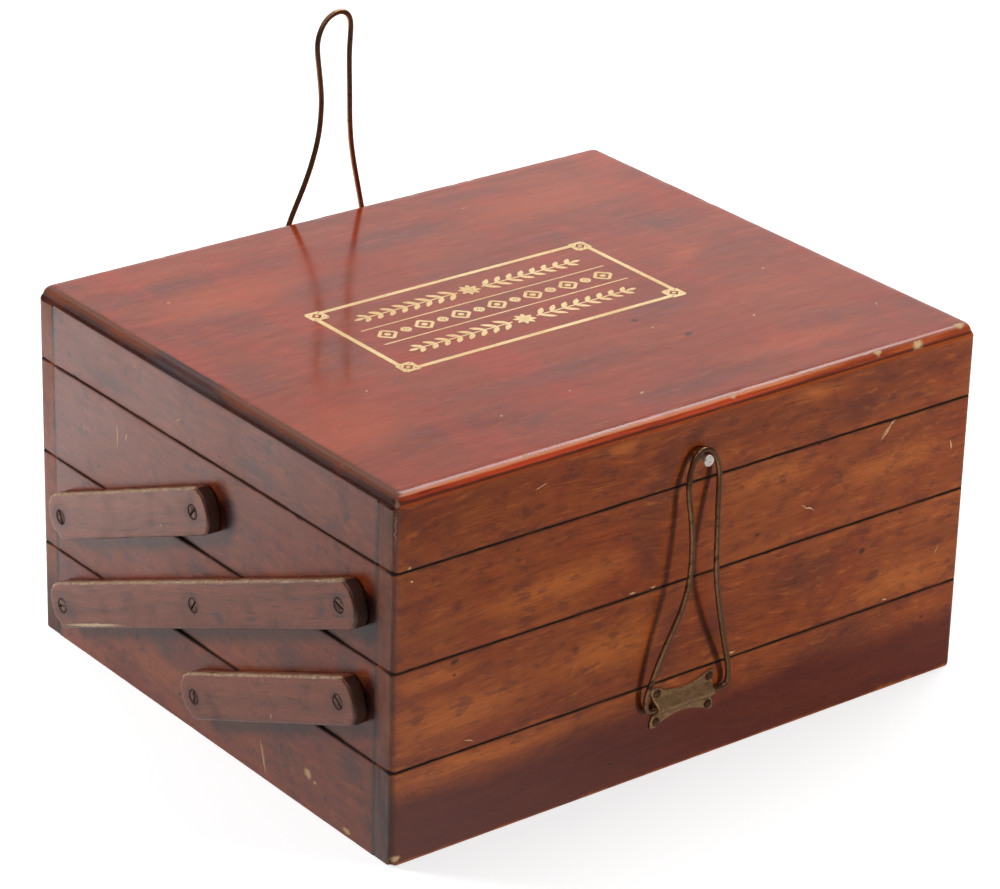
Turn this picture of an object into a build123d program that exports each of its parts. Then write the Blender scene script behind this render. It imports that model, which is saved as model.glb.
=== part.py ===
"""Folding wooden harmonica case: three stepped trays and a hinged lid.

Six flat link arms join the trays, so that they swing up and back into steps.
A wire hoop on the base hooks over a stud on the lid, and a second hoop on the
back of the lid hooks down to a stud on the base.

Frame: millimetres, +X to the right, +Y to the back, +Z up, with the origin at
the centre of the underside of the base.
"""
import os
from math import asin, atan2, cos, degrees, pi, radians, sin

from build123d import *

os.makedirs("parts", exist_ok=True)

# ---------------------------------------------------------------- driving sizes
# Case
case_width = 305.0  # X, outside the side boards
case_depth = 258.0  # Y, outside the front and rear boards
base_height = 42.5
middle_height = 44.0
upper_height = 43.5
lid_height = 33.0  # with its top board
board = 12.0  # thickness of every wall board
top_board = 5.5  # thickness of the lid's top
corner_round = 3.0  # upright corners of the walls
seam_round = 0.8  # outer edges where two trays meet
top_corner_round = 4.2  # corners of the lid's top board, seen from above
top_edge_round = 4.0  # moulded edge all round the lid's top board

# Tray floors and dividers
panel = 4.0  # thickness of each tray's floor
rebate = 6.0  # how far a floor runs under each wall
divider = 6.0  # thickness
divider_housing = 3.0  # how far a divider runs into front and rear boards
divider_drop = 2.0  # from the tray's rim down to the divider's top edge

# Link arms
front_inset = 28.0  # front face of the case to the front pivots
rear_inset = 25.0  # rear face of the case to the rear pivots
pivot_height = 22.0  # underside of the case to the base's pivots
rise_shortfall = 0.5  # how much less the pivots rise from tray to tray than the trays do
arm_width = 20.5
arm_thickness = 6.2
arm_gap = 0.3  # between an arm and the side of the case
arm_nose = 11.0  # beyond the upper, front pivot
arm_tail = 9.5  # beyond the lower, rear pivot
arm_end_rise = 3.2  # height of the shallow arc across each end
arm_edge_round = 0.7

# Pivot screws, slotted and countersunk
pivot_head = 6.2  # diameters
pivot_shank = 3.4
pivot_grip = 9.0  # length in the side board
slot_width = 0.9
slot_depth = 0.8

# Latches: wire hoop, bracket and stud
wire = 2.4  # diameter
wire_gap = 0.8  # between the case and the wire in its bracket
front_axis_drop = 11.25  # base's upper edge down to the front hoop's pivot
front_stud_lift = 10.2  # lid's lower edge up to the front stud
rear_axis_lift = 11.0  # lid's lower edge up to the rear hoop's pivot
rear_stud_drop = 9.8  # base's upper edge down to the rear stud
front_stud_shift = 1.1  # from the middle of the case to the front stud
lean_gap = 0.2  # between the upright rear hoop and the lid's edge that it leans over
front_shift = -3.5  # from the middle of the case to each bracket's middle
rear_shift = -1.5

# The wire's centre line. The hoops are bent by hand, so they differ a little.
loop_half_width = 8.6
arch_half_width = 4.2
arch_rise = 5.2
wire_grip = 4.0  # length of each wire end in its bracket
toe_reach = 2.0  # bracket's side to the wire's first bend
foot_flare = 3.9  # how far the wire spreads from its first bend to its second
foot_height = 8.3
tip_offset = 0.6  # how far the loop stands out beyond the pivot
front_waist, rear_waist = 5.2, 7.1  # half width where the legs come closest
front_drop, rear_drop = 56.5, 53.2  # loop's top to its waist
front_bow, rear_bow = 7.0, 3.6  # how far the waist stands out beyond the pivot
front_sway, rear_sway = 3.2, 7.0  # how far the loop stands off to the right
toe_bend, foot_bend, waist_bend, side_bend, arch_bend = 3.0, 7.5, 82.0, 6.0, 4.6

bracket_width = 34.0
bracket_height = 18.5
bracket_plate = 1.0
barrel_wall = 1.15  # thickness round the wire
bracket_waist = 3.0  # depth of the hollow in the upper and lower edges
bracket_ear = 6.0  # width of the flat end of each ear
nail_head = 2.4  # diameters
nail_shank = 1.3
nail_length = 8.0
nail_dome = 0.6
nail_side_inset = 3.0  # bracket's side to the nails
nail_edge_inset = 2.6  # bracket's upper and lower edge to the nails

stud_head = 5.0  # diameters
stud_neck = 2.6
stud_head_thickness = 1.5
stud_clearance = 0.1  # between the wire and the back of the head
stud_grip = 9.0  # length in the board
stud_play = 1.35  # between the head and the top of the loop

# Lid hinges
hinge_inset = 57.5  # side of the case to each hinge's middle
leaf_length = 38.0
leaf_width = 11.0
leaf_thickness = 1.0
knuckle = 2.4  # radius outside
knuckle_gap = 0.2  # to the case, and between a knuckle and its neighbour
pin_radius = 1.1
pin_head = 0.6  # length of each rounded end
leaf_screw_spacing = 24.0
leaf_screw_head = 4.2  # diameters
leaf_screw_shank = 2.4
leaf_screw_length = 11.0

# Fits
running_fit = 0.05  # round parts that turn in a hole, measured on the radius
screw_fit = 0.05  # fixed screws, nails and studs in their holes
sink_clearance = 0.08  # between a countersunk head and its seat

# ---------------------------------------------------------------- derived places
half_width = case_width / 2
half_depth = case_depth / 2
middle_bottom = base_height
upper_bottom = middle_bottom + middle_height
lid_bottom = upper_bottom + upper_height
lid_wall_height = lid_height - top_board
inner_depth = case_depth - 2 * board
inner_width = case_width - 2 * board
trays = {
    "base": (0.0, base_height),
    "middle": (middle_bottom, middle_height),
    "upper": (upper_bottom, upper_height),
}
sides = {"left": -1, "right": 1}

# Pivots: a rear, a middle and a front column, and one row in each tray.
pivot_run = (case_depth - front_inset - rear_inset) / 2
pivot_columns = {
    "rear": half_depth - rear_inset,
    "middle": half_depth - rear_inset - pivot_run,
    "front": half_depth - rear_inset - 2 * pivot_run,
}
pivot_rise = (base_height + middle_height) / 2 - rise_shortfall
pivot_rows = {
    "base": pivot_height,
    "middle": pivot_height + pivot_rise,
    "upper": pivot_height + 2 * pivot_rise,
}
arm_slope = degrees(atan2(pivot_rise, pivot_run))
# Each arm from its lower pivot to its upper one, as (tray, column).
arms = {
    "long_arm": [("base", "rear"), ("middle", "middle"), ("upper", "front")],
    "lower_arm": [("base", "middle"), ("middle", "front")],
    "upper_arm": [("middle", "rear"), ("upper", "middle")],
}
tray_pivots = {
    tray: [column for stops in arms.values() for name, column in stops if name == tray]
    for tray in trays
}
arm_face = half_width + arm_gap + arm_thickness  # outer face of the arms, along X

# Latches: the front hoop points up to its stud, and the rear one down to its own.
wire_standoff = wire_gap + wire / 2  # case to the centre of the wire in its bracket
bracket_barrel = wire / 2 + running_fit + barrel_wall  # radius outside
front_axis_height = base_height - front_axis_drop
front_stud_height = lid_bottom + front_stud_lift
rear_axis_height = lid_bottom + rear_axis_lift
rear_stud_height = base_height - rear_stud_drop
loop_to_stud = stud_head / 2 + stud_play + wire / 2
front_reach = front_stud_height - front_axis_height + loop_to_stud
rear_reach = rear_axis_height - rear_stud_height + loop_to_stud
rear_stud_x = rear_shift + rear_sway * (rear_axis_height - rear_stud_height) / rear_reach
hoop_end = bracket_width / 2 - wire_grip
toe_half_width = bracket_width / 2 + toe_reach
foot_half_width = toe_half_width + foot_flare
stud_head_back = wire_standoff + tip_offset + wire / 2 + stud_clearance
lean_height = lid_bottom + lid_height - top_edge_round - rear_axis_height
rear_lean = asin(rear_bow / (rear_reach - rear_drop) - (wire_gap - lean_gap) / lean_height)
nail_places = [
    (x * (bracket_width / 2 - nail_side_inset), z * (bracket_height / 2 - nail_edge_inset))
    for x in (-1, 1)
    for z in (-1, 1)
]

# Hinges
hinge_y = half_depth + knuckle_gap + knuckle
hinge_places = {side: sign * (half_width - hinge_inset) for side, sign in sides.items()}
knuckle_length = (leaf_length - 2 * knuckle_gap) / 3


def save(piece, name):
    """Label a finished sub-part and write it as its own STEP file."""
    piece.part.label = name
    export_step(piece.part, f"parts/{name}.step")


def round_hole(plane, radius, depth):
    """Cut a round hole into the part being built, from the plane inwards."""
    with BuildSketch(plane) as outline:
        Circle(radius)
    extrude(outline.sketch, amount=-depth, mode=Mode.SUBTRACT)


def side_plane(sign, y, z, x=half_width):
    """A plane on one side of the case, facing outwards."""
    return Plane(origin=(sign * x, y, z), x_dir=(0, sign, 0), z_dir=(sign, 0, 0))


def face_plane(facing, z, x=0.0, offset=0.0):
    """A plane on the front (-1) or rear (1) of the case, facing outwards."""
    return Plane(
        origin=(x, facing * (half_depth + offset), z),
        x_dir=(-facing, 0, 0),
        z_dir=(0, facing, 0),
    )


# ---------------------------------------------------------------- wall boards
def front_or_rear_board(facing, bottom, height):
    """A full-width board with rounded outer edges, ready to be cut."""
    middle_y = facing * (half_depth - board / 2)
    with BuildPart() as blank:
        with Locations((0, middle_y, bottom + height / 2)):
            Box(case_width, board, height)
        outer = blank.edges().filter_by(Axis.Z)
        fillet([e for e in outer if abs(e.center().Y) > half_depth - board / 2], corner_round)
        rims = blank.edges().filter_by(Axis.Z, reverse=True)
        inner_y = half_depth - board
        fillet([e for e in rims if abs(e.center().Y) > inner_y + seam_round], seam_round)
    return blank.part


def side_board(sign, bottom, height):
    """A board that stands between the front and rear boards."""
    middle_x = sign * (half_width - board / 2)
    with BuildPart() as blank:
        with Locations((middle_x, 0, bottom + height / 2)):
            Box(board, inner_depth, height)
        long_edges = blank.edges().filter_by(Axis.Y)
        fillet([e for e in long_edges if abs(e.center().X) > half_width - board / 2], seam_round)
    return blank.part


def bracket_nail_holes(facing, z, x, depth=nail_length):
    """Cut the four nail holes of a latch bracket from the face of the case."""
    with BuildSketch(face_plane(facing, z, x)) as outline:
        with Locations(*nail_places):
            Circle(nail_shank / 2 + screw_fit)
    extrude(outline.sketch, amount=-depth, mode=Mode.SUBTRACT)


def hinge_recesses(top_of_tray):
    """Let the hinge leaves and their screws into the edge of a rear board."""
    inwards = -1 if top_of_tray else 1
    for x in hinge_places.values():
        middle_y = half_depth - leaf_width / 2
        with Locations((x, middle_y, lid_bottom + inwards * leaf_thickness / 2)):
            Box(leaf_length, leaf_width, leaf_thickness, mode=Mode.SUBTRACT)
        for side in (-1, 1):
            seat = (x + side * leaf_screw_spacing / 2, middle_y, lid_bottom)
            round_hole(
                Plane(origin=seat, z_dir=(0, 0, -inwards)),
                leaf_screw_shank / 2 + screw_fit,
                leaf_screw_length + screw_fit,
            )


def build_tray(tray, bottom, height):
    """Four boards, a floor let into their lower edges, and one divider."""
    for name, facing in (("front", -1), ("rear", 1)):
        with BuildPart() as wall:
            add(front_or_rear_board(facing, bottom, height))
            floor_edge = facing * (half_depth - board + rebate / 2)
            with Locations((0, floor_edge, bottom + panel / 2)):
                Box(inner_width + 2 * rebate, rebate, panel, mode=Mode.SUBTRACT)
            housing = facing * (half_depth - board + divider_housing / 2)
            with Locations((0, housing, bottom + (panel + height) / 2)):
                Box(divider, divider_housing, height - panel, mode=Mode.SUBTRACT)
            if (tray, name) == ("base", "front"):
                bracket_nail_holes(facing, front_axis_height, front_shift)
            if (tray, name) == ("base", "rear"):
                stud_seat = face_plane(facing, rear_stud_height, rear_stud_x)
                round_hole(stud_seat, stud_neck / 2 + screw_fit, stud_grip)
            if (tray, name) == ("upper", "rear"):
                hinge_recesses(top_of_tray=True)
        save(wall, f"{tray}_{name}")

    for name, sign in sides.items():
        with BuildPart() as wall:
            add(side_board(sign, bottom, height))
            floor_edge = sign * (half_width - board + rebate / 2)
            with Locations((floor_edge, 0, bottom + panel / 2)):
                Box(rebate, inner_depth, panel, mode=Mode.SUBTRACT)
            for column in tray_pivots[tray]:
                pivot = side_plane(sign, pivot_columns[column], pivot_rows[tray])
                round_hole(pivot, pivot_shank / 2 + screw_fit, pivot_grip)
        save(wall, f"{tray}_{name}")

    with BuildPart() as floor:
        with Locations((0, 0, bottom + panel / 2)):
            Box(inner_width + 2 * rebate, inner_depth + 2 * rebate, panel)
    save(floor, f"{tray}_bottom")

    divider_height = height - panel - divider_drop
    with BuildPart() as partition:
        with Locations((0, 0, bottom + panel + divider_height / 2)):
            Box(divider, inner_depth + 2 * divider_housing, divider_height)
    save(partition, f"{tray}_divider")


for tray_name, (tray_bottom, tray_height) in trays.items():
    build_tray(tray_name, tray_bottom, tray_height)

# ---------------------------------------------------------------- lid
for name, facing in (("front", -1), ("rear", 1)):
    with BuildPart() as lid_wall:
        add(front_or_rear_board(facing, lid_bottom, lid_wall_height))
        if facing == -1:
            stud_seat = face_plane(facing, front_stud_height, front_stud_shift)
            round_hole(stud_seat, stud_neck / 2 + screw_fit, stud_grip)
        else:
            bracket_nail_holes(facing, rear_axis_height, rear_shift)
            hinge_recesses(top_of_tray=False)
    save(lid_wall, f"lid_{name}")

for name, sign in sides.items():
    with BuildPart() as lid_wall:
        add(side_board(sign, lid_bottom, lid_wall_height))
    save(lid_wall, f"lid_{name}")

with BuildPart() as lid_top:
    with Locations((0, 0, lid_bottom + lid_height - top_board / 2)):
        Box(case_width, case_depth, top_board)
    fillet(lid_top.edges().filter_by(Axis.Z), top_corner_round)
    fillet(lid_top.faces().sort_by(Axis.Z)[-1].edges(), top_edge_round)
save(lid_top, "lid_top")


# ---------------------------------------------------------------- link arms
def screw_profile(head_radius, shank_radius, length, spare=0.0):
    """Half outline of a 90 degree countersunk screw, or of its hole with spare.

    The head's flat face is at height 0 and the screw points down.
    """
    head = head_radius + spare
    shank = shank_radius + spare
    Polyline(
        (0, 0),
        (head, 0),
        (shank, shank - head),
        (shank, -length),
        (0, -length),
        close=True,
    )


def turned(plane, head_radius, shank_radius, length, spare=0.0, mode=Mode.ADD):
    """Revolve a screw, or its hole, about the plane's normal."""
    upright = Plane(origin=plane.origin, x_dir=plane.x_dir, z_dir=-plane.y_dir)
    with BuildSketch(upright) as outline:
        with BuildLine():
            screw_profile(head_radius, shank_radius, length, spare)
        make_face()
    revolve(outline.sketch, axis=Axis(plane.origin, plane.z_dir), mode=mode)


def build_arm(name, sign, stops):
    """A flat arm with shallow round ends, sunk for a screw at each pivot."""
    low_tray, low_column = stops[0]
    reach = (len(stops) - 1) * (pivot_run**2 + pivot_rise**2) ** 0.5
    slope = radians(arm_slope)
    start = (sign * (half_width + arm_gap), pivot_columns[low_column], pivot_rows[low_tray])
    along = (0, -cos(slope), sin(slope))
    inner_face = Plane(origin=start, x_dir=along, z_dir=(sign, 0, 0))
    half = arm_width / 2
    nose = reach + arm_nose
    with BuildPart() as arm:
        with BuildSketch(inner_face):
            with BuildLine():
                tail = Polyline(
                    (arm_end_rise - arm_tail, half),
                    (nose - arm_end_rise, half),
                )
                ThreePointArc(tail @ 1, (nose, 0), (nose - arm_end_rise, -half))
                Line((nose - arm_end_rise, -half), (arm_end_rise - arm_tail, -half))
                ThreePointArc((arm_end_rise - arm_tail, -half), (-arm_tail, 0), tail @ 0)
            make_face()
        extrude(amount=arm_thickness)
        fillet(arm.faces().sort_by(Axis.X)[-1 if sign > 0 else 0].edges(), arm_edge_round)
        for tray, column in stops:
            pivot = side_plane(sign, pivot_columns[column], pivot_rows[tray], arm_face)
            turned(
                pivot,
                pivot_head / 2,
                pivot_shank / 2,
                arm_thickness,
                running_fit,
                Mode.SUBTRACT,
            )
    save(arm, name)


for side_name, side_sign in sides.items():
    for arm_name, arm_stops in arms.items():
        build_arm(f"{arm_name}_{side_name}", side_sign, arm_stops)

# One node of pivot screws for each tray.
for tray_name, columns in tray_pivots.items():
    with BuildPart() as pivot_screws:
        for side_sign in sides.values():
            for column in columns:
                head = side_plane(side_sign, pivot_columns[column], pivot_rows[tray_name], arm_face)
                screw_length = arm_thickness + arm_gap + pivot_grip - screw_fit
                turned(head, pivot_head / 2, pivot_shank / 2, screw_length)
                with BuildSketch(head):
                    Rectangle(pivot_head, slot_width)
                extrude(amount=-slot_depth, mode=Mode.SUBTRACT)
    save(pivot_screws, f"{tray_name}_pivot_screws")


# ---------------------------------------------------------------- latches
def hoop_corners(reach, waist, drop, bow, sway):
    """Corners of the wire's centre line as (across, out from the case, along)."""
    waist_height = reach - drop
    right = [
        (hoop_end, 0, 0),
        (toe_half_width, 0, 0),
        (foot_half_width, bow * foot_height / waist_height, foot_height),
        (waist, bow, waist_height),
        (loop_half_width, tip_offset, reach - arch_rise),
        (arch_half_width, tip_offset, reach),
    ]
    left = [(-across, out, along) for across, out, along in reversed(right)]
    return [(across + sway * along / reach, out, along) for across, out, along in right + left]


def build_hoop(name, pivot, along, out, shape):
    """Bend one wire through its corners, from one end to the other."""
    corners = [
        pivot + Vector(1, 0, 0) * x + out * b + along * h for x, b, h in hoop_corners(*shape)
    ]
    bends = [toe_bend, foot_bend, waist_bend, side_bend, arch_bend]
    with BuildPart() as hoop:
        with BuildLine() as route:
            FilletPolyline(*corners, radius=bends + bends[::-1])
        with BuildSketch(Plane(origin=corners[0], z_dir=(1, 0, 0))):
            Circle(wire / 2)
        sweep(path=route.wire())
    save(hoop, name)
    return route.wire().length, hoop.part.volume


def build_bracket(name, facing, z, shift):
    """A brass plate with four ears and a barrel pressed across it."""
    half = bracket_width / 2
    rise = bracket_height / 2
    flat = half - bracket_ear / 2
    with BuildPart() as bracket:
        with BuildSketch(face_plane(facing, z, shift)):
            with BuildLine():
                Polyline((-flat, rise), (-half, rise), (-half, -rise), (-flat, -rise))
                ThreePointArc((-flat, -rise), (0, bracket_waist - rise), (flat, -rise))
                Polyline((flat, -rise), (half, -rise), (half, rise), (flat, rise))
                ThreePointArc((flat, rise), (0, rise - bracket_waist), (-flat, rise))
            make_face()
        extrude(amount=bracket_plate)
        fillet(bracket.edges().filter_by(Axis.Y), seam_round)
        barrel_end = Plane(
            origin=(shift - half, facing * (half_depth + wire_standoff), z),
            x_dir=(0, facing, 0),
            z_dir=(1, 0, 0),
        )
        with BuildSketch(barrel_end):
            Circle(bracket_barrel)
            with Locations((-wire_standoff - bracket_barrel, 0)):
                Rectangle(2 * bracket_barrel, 2 * bracket_barrel, mode=Mode.SUBTRACT)
        extrude(amount=bracket_width)
        with BuildSketch(barrel_end):
            Circle(wire / 2 + running_fit)
        extrude(amount=bracket_width, mode=Mode.SUBTRACT)
        bracket_nail_holes(facing, z, shift, -bracket_plate)
    save(bracket, name)


def dome(half_chord, base, rise):
    """Half of a spherical cap's outline, from its rim up to the axis."""
    radius = (half_chord**2 + rise**2) / (2 * rise)
    half_angle = asin(half_chord / radius) / 2
    midway = (radius * sin(half_angle), base + rise - radius * (1 - cos(half_angle)))
    ThreePointArc((half_chord, base), midway, (0, base + rise))


def build_nails(name, facing, z, shift):
    """The four round-headed nails of one bracket."""
    with BuildPart() as nails:
        for x, dz in nail_places:
            seat = face_plane(facing, z, shift, bracket_plate)
            axis_point = seat.from_local_coords((x, dz, 0))
            upright = Plane(origin=axis_point, x_dir=seat.x_dir, z_dir=-seat.y_dir)
            with BuildSketch(upright):
                with BuildLine():
                    Polyline(
                        (0, nail_dome),
                        (0, screw_fit - nail_length),
                        (nail_shank / 2, screw_fit - nail_length),
                        (nail_shank / 2, 0),
                        (nail_head / 2, 0),
                    )
                    dome(nail_head / 2, 0, nail_dome)
                make_face()
            revolve(axis=Axis(axis_point, seat.z_dir))
    save(nails, name)


def build_stud(name, facing, z, x=0.0):
    """A round pin with a domed head that the loop of a hoop hooks behind."""
    seat = face_plane(facing, z, x)
    upright = Plane(origin=seat.origin, x_dir=seat.x_dir, z_dir=-seat.y_dir)
    rim = stud_head_back + stud_head_thickness * 2 / 3
    tip = stud_head_back + stud_head_thickness
    with BuildPart() as stud:
        with BuildSketch(upright):
            with BuildLine():
                Polyline(
                    (0, tip),
                    (0, screw_fit - stud_grip),
                    (stud_neck / 2, screw_fit - stud_grip),
                    (stud_neck / 2, stud_head_back),
                    (stud_head / 2, stud_head_back),
                    (stud_head / 2, rim),
                )
                dome(stud_head / 2, rim, tip - rim)
            make_face()
        revolve(axis=Axis(seat.origin, seat.z_dir))
    save(stud, name)


up = Vector(0, 0, 1)
back = Vector(0, 1, 0)
front_pivot = Vector(front_shift, -half_depth - wire_standoff, front_axis_height)
rear_pivot = Vector(rear_shift, half_depth + wire_standoff, rear_axis_height)
front_shape = (front_reach, front_waist, front_drop, front_bow, front_sway)
rear_shape = (rear_reach, rear_waist, rear_drop, rear_bow, rear_sway)
wires = {
    "front_hoop": build_hoop("front_hoop", front_pivot, up, -back, front_shape),
    "rear_hoop": build_hoop(
        "rear_hoop",
        rear_pivot,
        up * cos(rear_lean) + back * sin(rear_lean),
        up * sin(rear_lean) - back * cos(rear_lean),
        rear_shape,
    ),
}
for end, facing, pivot in (("front", -1, front_pivot), ("rear", 1, rear_pivot)):
    build_bracket(f"{end}_bracket", facing, pivot.Z, pivot.X)
    build_nails(f"{end}_bracket_nails", facing, pivot.Z, pivot.X)
build_stud("front_stud", -1, front_stud_height, front_stud_shift)
build_stud("rear_stud", 1, rear_stud_height, rear_stud_x)


# ---------------------------------------------------------------- lid hinges
def build_leaf(name, x, of_tray):
    """One leaf: a plate on a board's edge and the knuckles it carries."""
    inwards = -1 if of_tray else 1
    plate_end = half_depth - knuckle_gap / 2
    step = knuckle_length + knuckle_gap
    own_knuckles = (-step, step) if of_tray else (0.0,)
    with BuildPart() as leaf:
        plate_start = half_depth - leaf_width
        with Locations((x, (plate_start + plate_end) / 2, lid_bottom + inwards * leaf_thickness / 2)):
            Box(leaf_length, plate_end - plate_start, leaf_thickness)
        for dx in own_knuckles:
            tab = hinge_y - plate_end
            tab_middle = (x + dx, plate_end + tab / 2, lid_bottom + inwards * leaf_thickness / 2)
            with Locations(tab_middle):
                Box(knuckle_length, tab, leaf_thickness)
            with BuildSketch(Plane(origin=(x + dx, hinge_y, lid_bottom), z_dir=(1, 0, 0))):
                Circle(knuckle)
            extrude(amount=knuckle_length / 2, both=True)
        with BuildSketch(Plane(origin=(x, hinge_y, lid_bottom), z_dir=(1, 0, 0))):
            Circle(pin_radius + running_fit)
        extrude(amount=leaf_length / 2, both=True, mode=Mode.SUBTRACT)
        for side in (-1, 1):
            seat = (x + side * leaf_screw_spacing / 2, half_depth - leaf_width / 2, lid_bottom)
            turned(
                Plane(origin=seat, x_dir=(1, 0, 0), z_dir=(0, 0, -inwards)),
                leaf_screw_head / 2,
                leaf_screw_shank / 2,
                leaf_thickness,
                sink_clearance,
                Mode.SUBTRACT,
            )
    save(leaf, name)


def build_hinge_pin(name, x):
    """The hinge pin with its two rounded ends."""
    half = leaf_length / 2
    with BuildPart() as pin:
        with BuildSketch(Plane(origin=(x, hinge_y, lid_bottom), z_dir=(1, 0, 0))):
            Circle(pin_radius)
        extrude(amount=half, both=True)
        for side in (-1, 1):
            outer = Plane(origin=(x + side * half, hinge_y, lid_bottom), z_dir=(side, 0, 0))
            with BuildSketch(outer):
                Circle(pin_radius + pin_head)
            extrude(amount=pin_head)
        fillet(pin.faces().sort_by(Axis.X)[0].edges(), pin_head * 0.8)
        fillet(pin.faces().sort_by(Axis.X)[-1].edges(), pin_head * 0.8)
    save(pin, name)


for side_name, hinge_x in hinge_places.items():
    build_leaf(f"tray_hinge_leaf_{side_name}", hinge_x, of_tray=True)
    build_leaf(f"lid_hinge_leaf_{side_name}", hinge_x, of_tray=False)
    build_hinge_pin(f"hinge_pin_{side_name}", hinge_x)

for name, inwards in (("tray_hinge_screws", -1), ("lid_hinge_screws", 1)):
    with BuildPart() as leaf_screws:
        for hinge_x in hinge_places.values():
            for side in (-1, 1):
                seat = (hinge_x + side * leaf_screw_spacing / 2, half_depth - leaf_width / 2, lid_bottom)
                face = Plane(origin=seat, x_dir=(1, 0, 0), z_dir=(0, 0, -inwards))
                turned(face, leaf_screw_head / 2, leaf_screw_shank / 2, leaf_screw_length)
                with BuildSketch(face):
                    Rectangle(leaf_screw_head, slot_width)
                extrude(amount=-slot_depth, mode=Mode.SUBTRACT)
    save(leaf_screws, name)

print(f"arms slope {arm_slope:.3f} degrees, fold opens {180 - 2 * arm_slope:.3f} degrees")
print(f"pivot columns at {pivot_columns}")
print(f"pivot rows at {pivot_rows}")
print(f"front hoop turns at {tuple(front_pivot)}, rear hoop at {tuple(rear_pivot)}")
print(f"rear hoop leans back {degrees(rear_lean):.2f} degrees, its stud stands at x {rear_stud_x:.2f}")
for name, (length, volume) in wires.items():
    ideal = length * pi * wire**2 / 4
    print(f"{name} wire {length:.1f} mm long, volume {volume:.1f} of {ideal:.1f} mm3")
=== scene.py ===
"""Looks of the harmonica case: finishes, worn edges, gilt panel, floor and light."""

import math

import bmesh
import bpy
from mathutils import Matrix, Vector, noise

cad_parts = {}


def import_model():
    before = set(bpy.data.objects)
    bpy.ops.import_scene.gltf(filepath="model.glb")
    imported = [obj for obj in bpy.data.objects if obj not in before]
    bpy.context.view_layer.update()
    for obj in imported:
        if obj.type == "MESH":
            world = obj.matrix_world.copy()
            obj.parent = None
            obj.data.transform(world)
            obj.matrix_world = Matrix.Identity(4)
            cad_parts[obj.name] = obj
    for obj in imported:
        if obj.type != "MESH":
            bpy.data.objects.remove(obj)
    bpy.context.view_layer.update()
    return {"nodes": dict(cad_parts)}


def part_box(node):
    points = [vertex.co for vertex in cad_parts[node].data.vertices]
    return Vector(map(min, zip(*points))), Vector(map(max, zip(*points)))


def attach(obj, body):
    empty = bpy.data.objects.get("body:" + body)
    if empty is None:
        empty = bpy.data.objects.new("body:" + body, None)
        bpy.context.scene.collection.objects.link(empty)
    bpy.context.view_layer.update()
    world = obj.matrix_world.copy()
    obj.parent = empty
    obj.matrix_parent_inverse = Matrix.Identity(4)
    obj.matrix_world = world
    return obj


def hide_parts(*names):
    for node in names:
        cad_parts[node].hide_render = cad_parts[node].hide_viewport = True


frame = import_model()
nodes = frame["nodes"]

MM = 0.001
HALF_WIDTH, HALF_DEPTH, BOARD = 152.5, 129.0, 12.0
INSIDE_X, INSIDE_Y = HALF_WIDTH - BOARD, HALF_DEPTH - BOARD
LID_JOINT, LID_TOP = 157.5, 163.0


def add_object(name, data):
    made = bpy.data.objects.new(name, data)
    bpy.context.scene.collection.objects.link(made)
    return made


# ---------------------------------------------------------------- camera
CAMERA_PLACE = Vector((-0.9946, -1.2584, 0.8306))
CAMERA_AZIMUTH = math.radians(38.293)
CAMERA_ELEVATION = math.radians(24.571)
CAMERA_ROLL = math.radians(1.599)
CAMERA_LENS = 147.19  # mm, on a 36 mm sensor


def make_camera():
    """Place the camera by its azimuth, elevation and roll."""
    level = math.cos(CAMERA_ELEVATION)
    forward = Vector(
        (math.sin(CAMERA_AZIMUTH) * level, math.cos(CAMERA_AZIMUTH) * level, -math.sin(CAMERA_ELEVATION))
    )
    right = forward.cross(Vector((0, 0, 1))).normalized()
    down = forward.cross(right)
    rolled_right = math.cos(CAMERA_ROLL) * right - math.sin(CAMERA_ROLL) * down
    rolled_down = math.sin(CAMERA_ROLL) * right + math.cos(CAMERA_ROLL) * down
    turn = Matrix((rolled_right, -rolled_down, -forward)).transposed().to_4x4()
    data = bpy.data.cameras.new("camera")
    data.lens = CAMERA_LENS
    data.sensor_width = 36.0
    data.clip_start = 0.05
    data.clip_end = 50.0
    camera = add_object("camera", data)
    camera.matrix_world = Matrix.Translation(CAMERA_PLACE) @ turn
    bpy.context.scene.camera = camera


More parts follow.
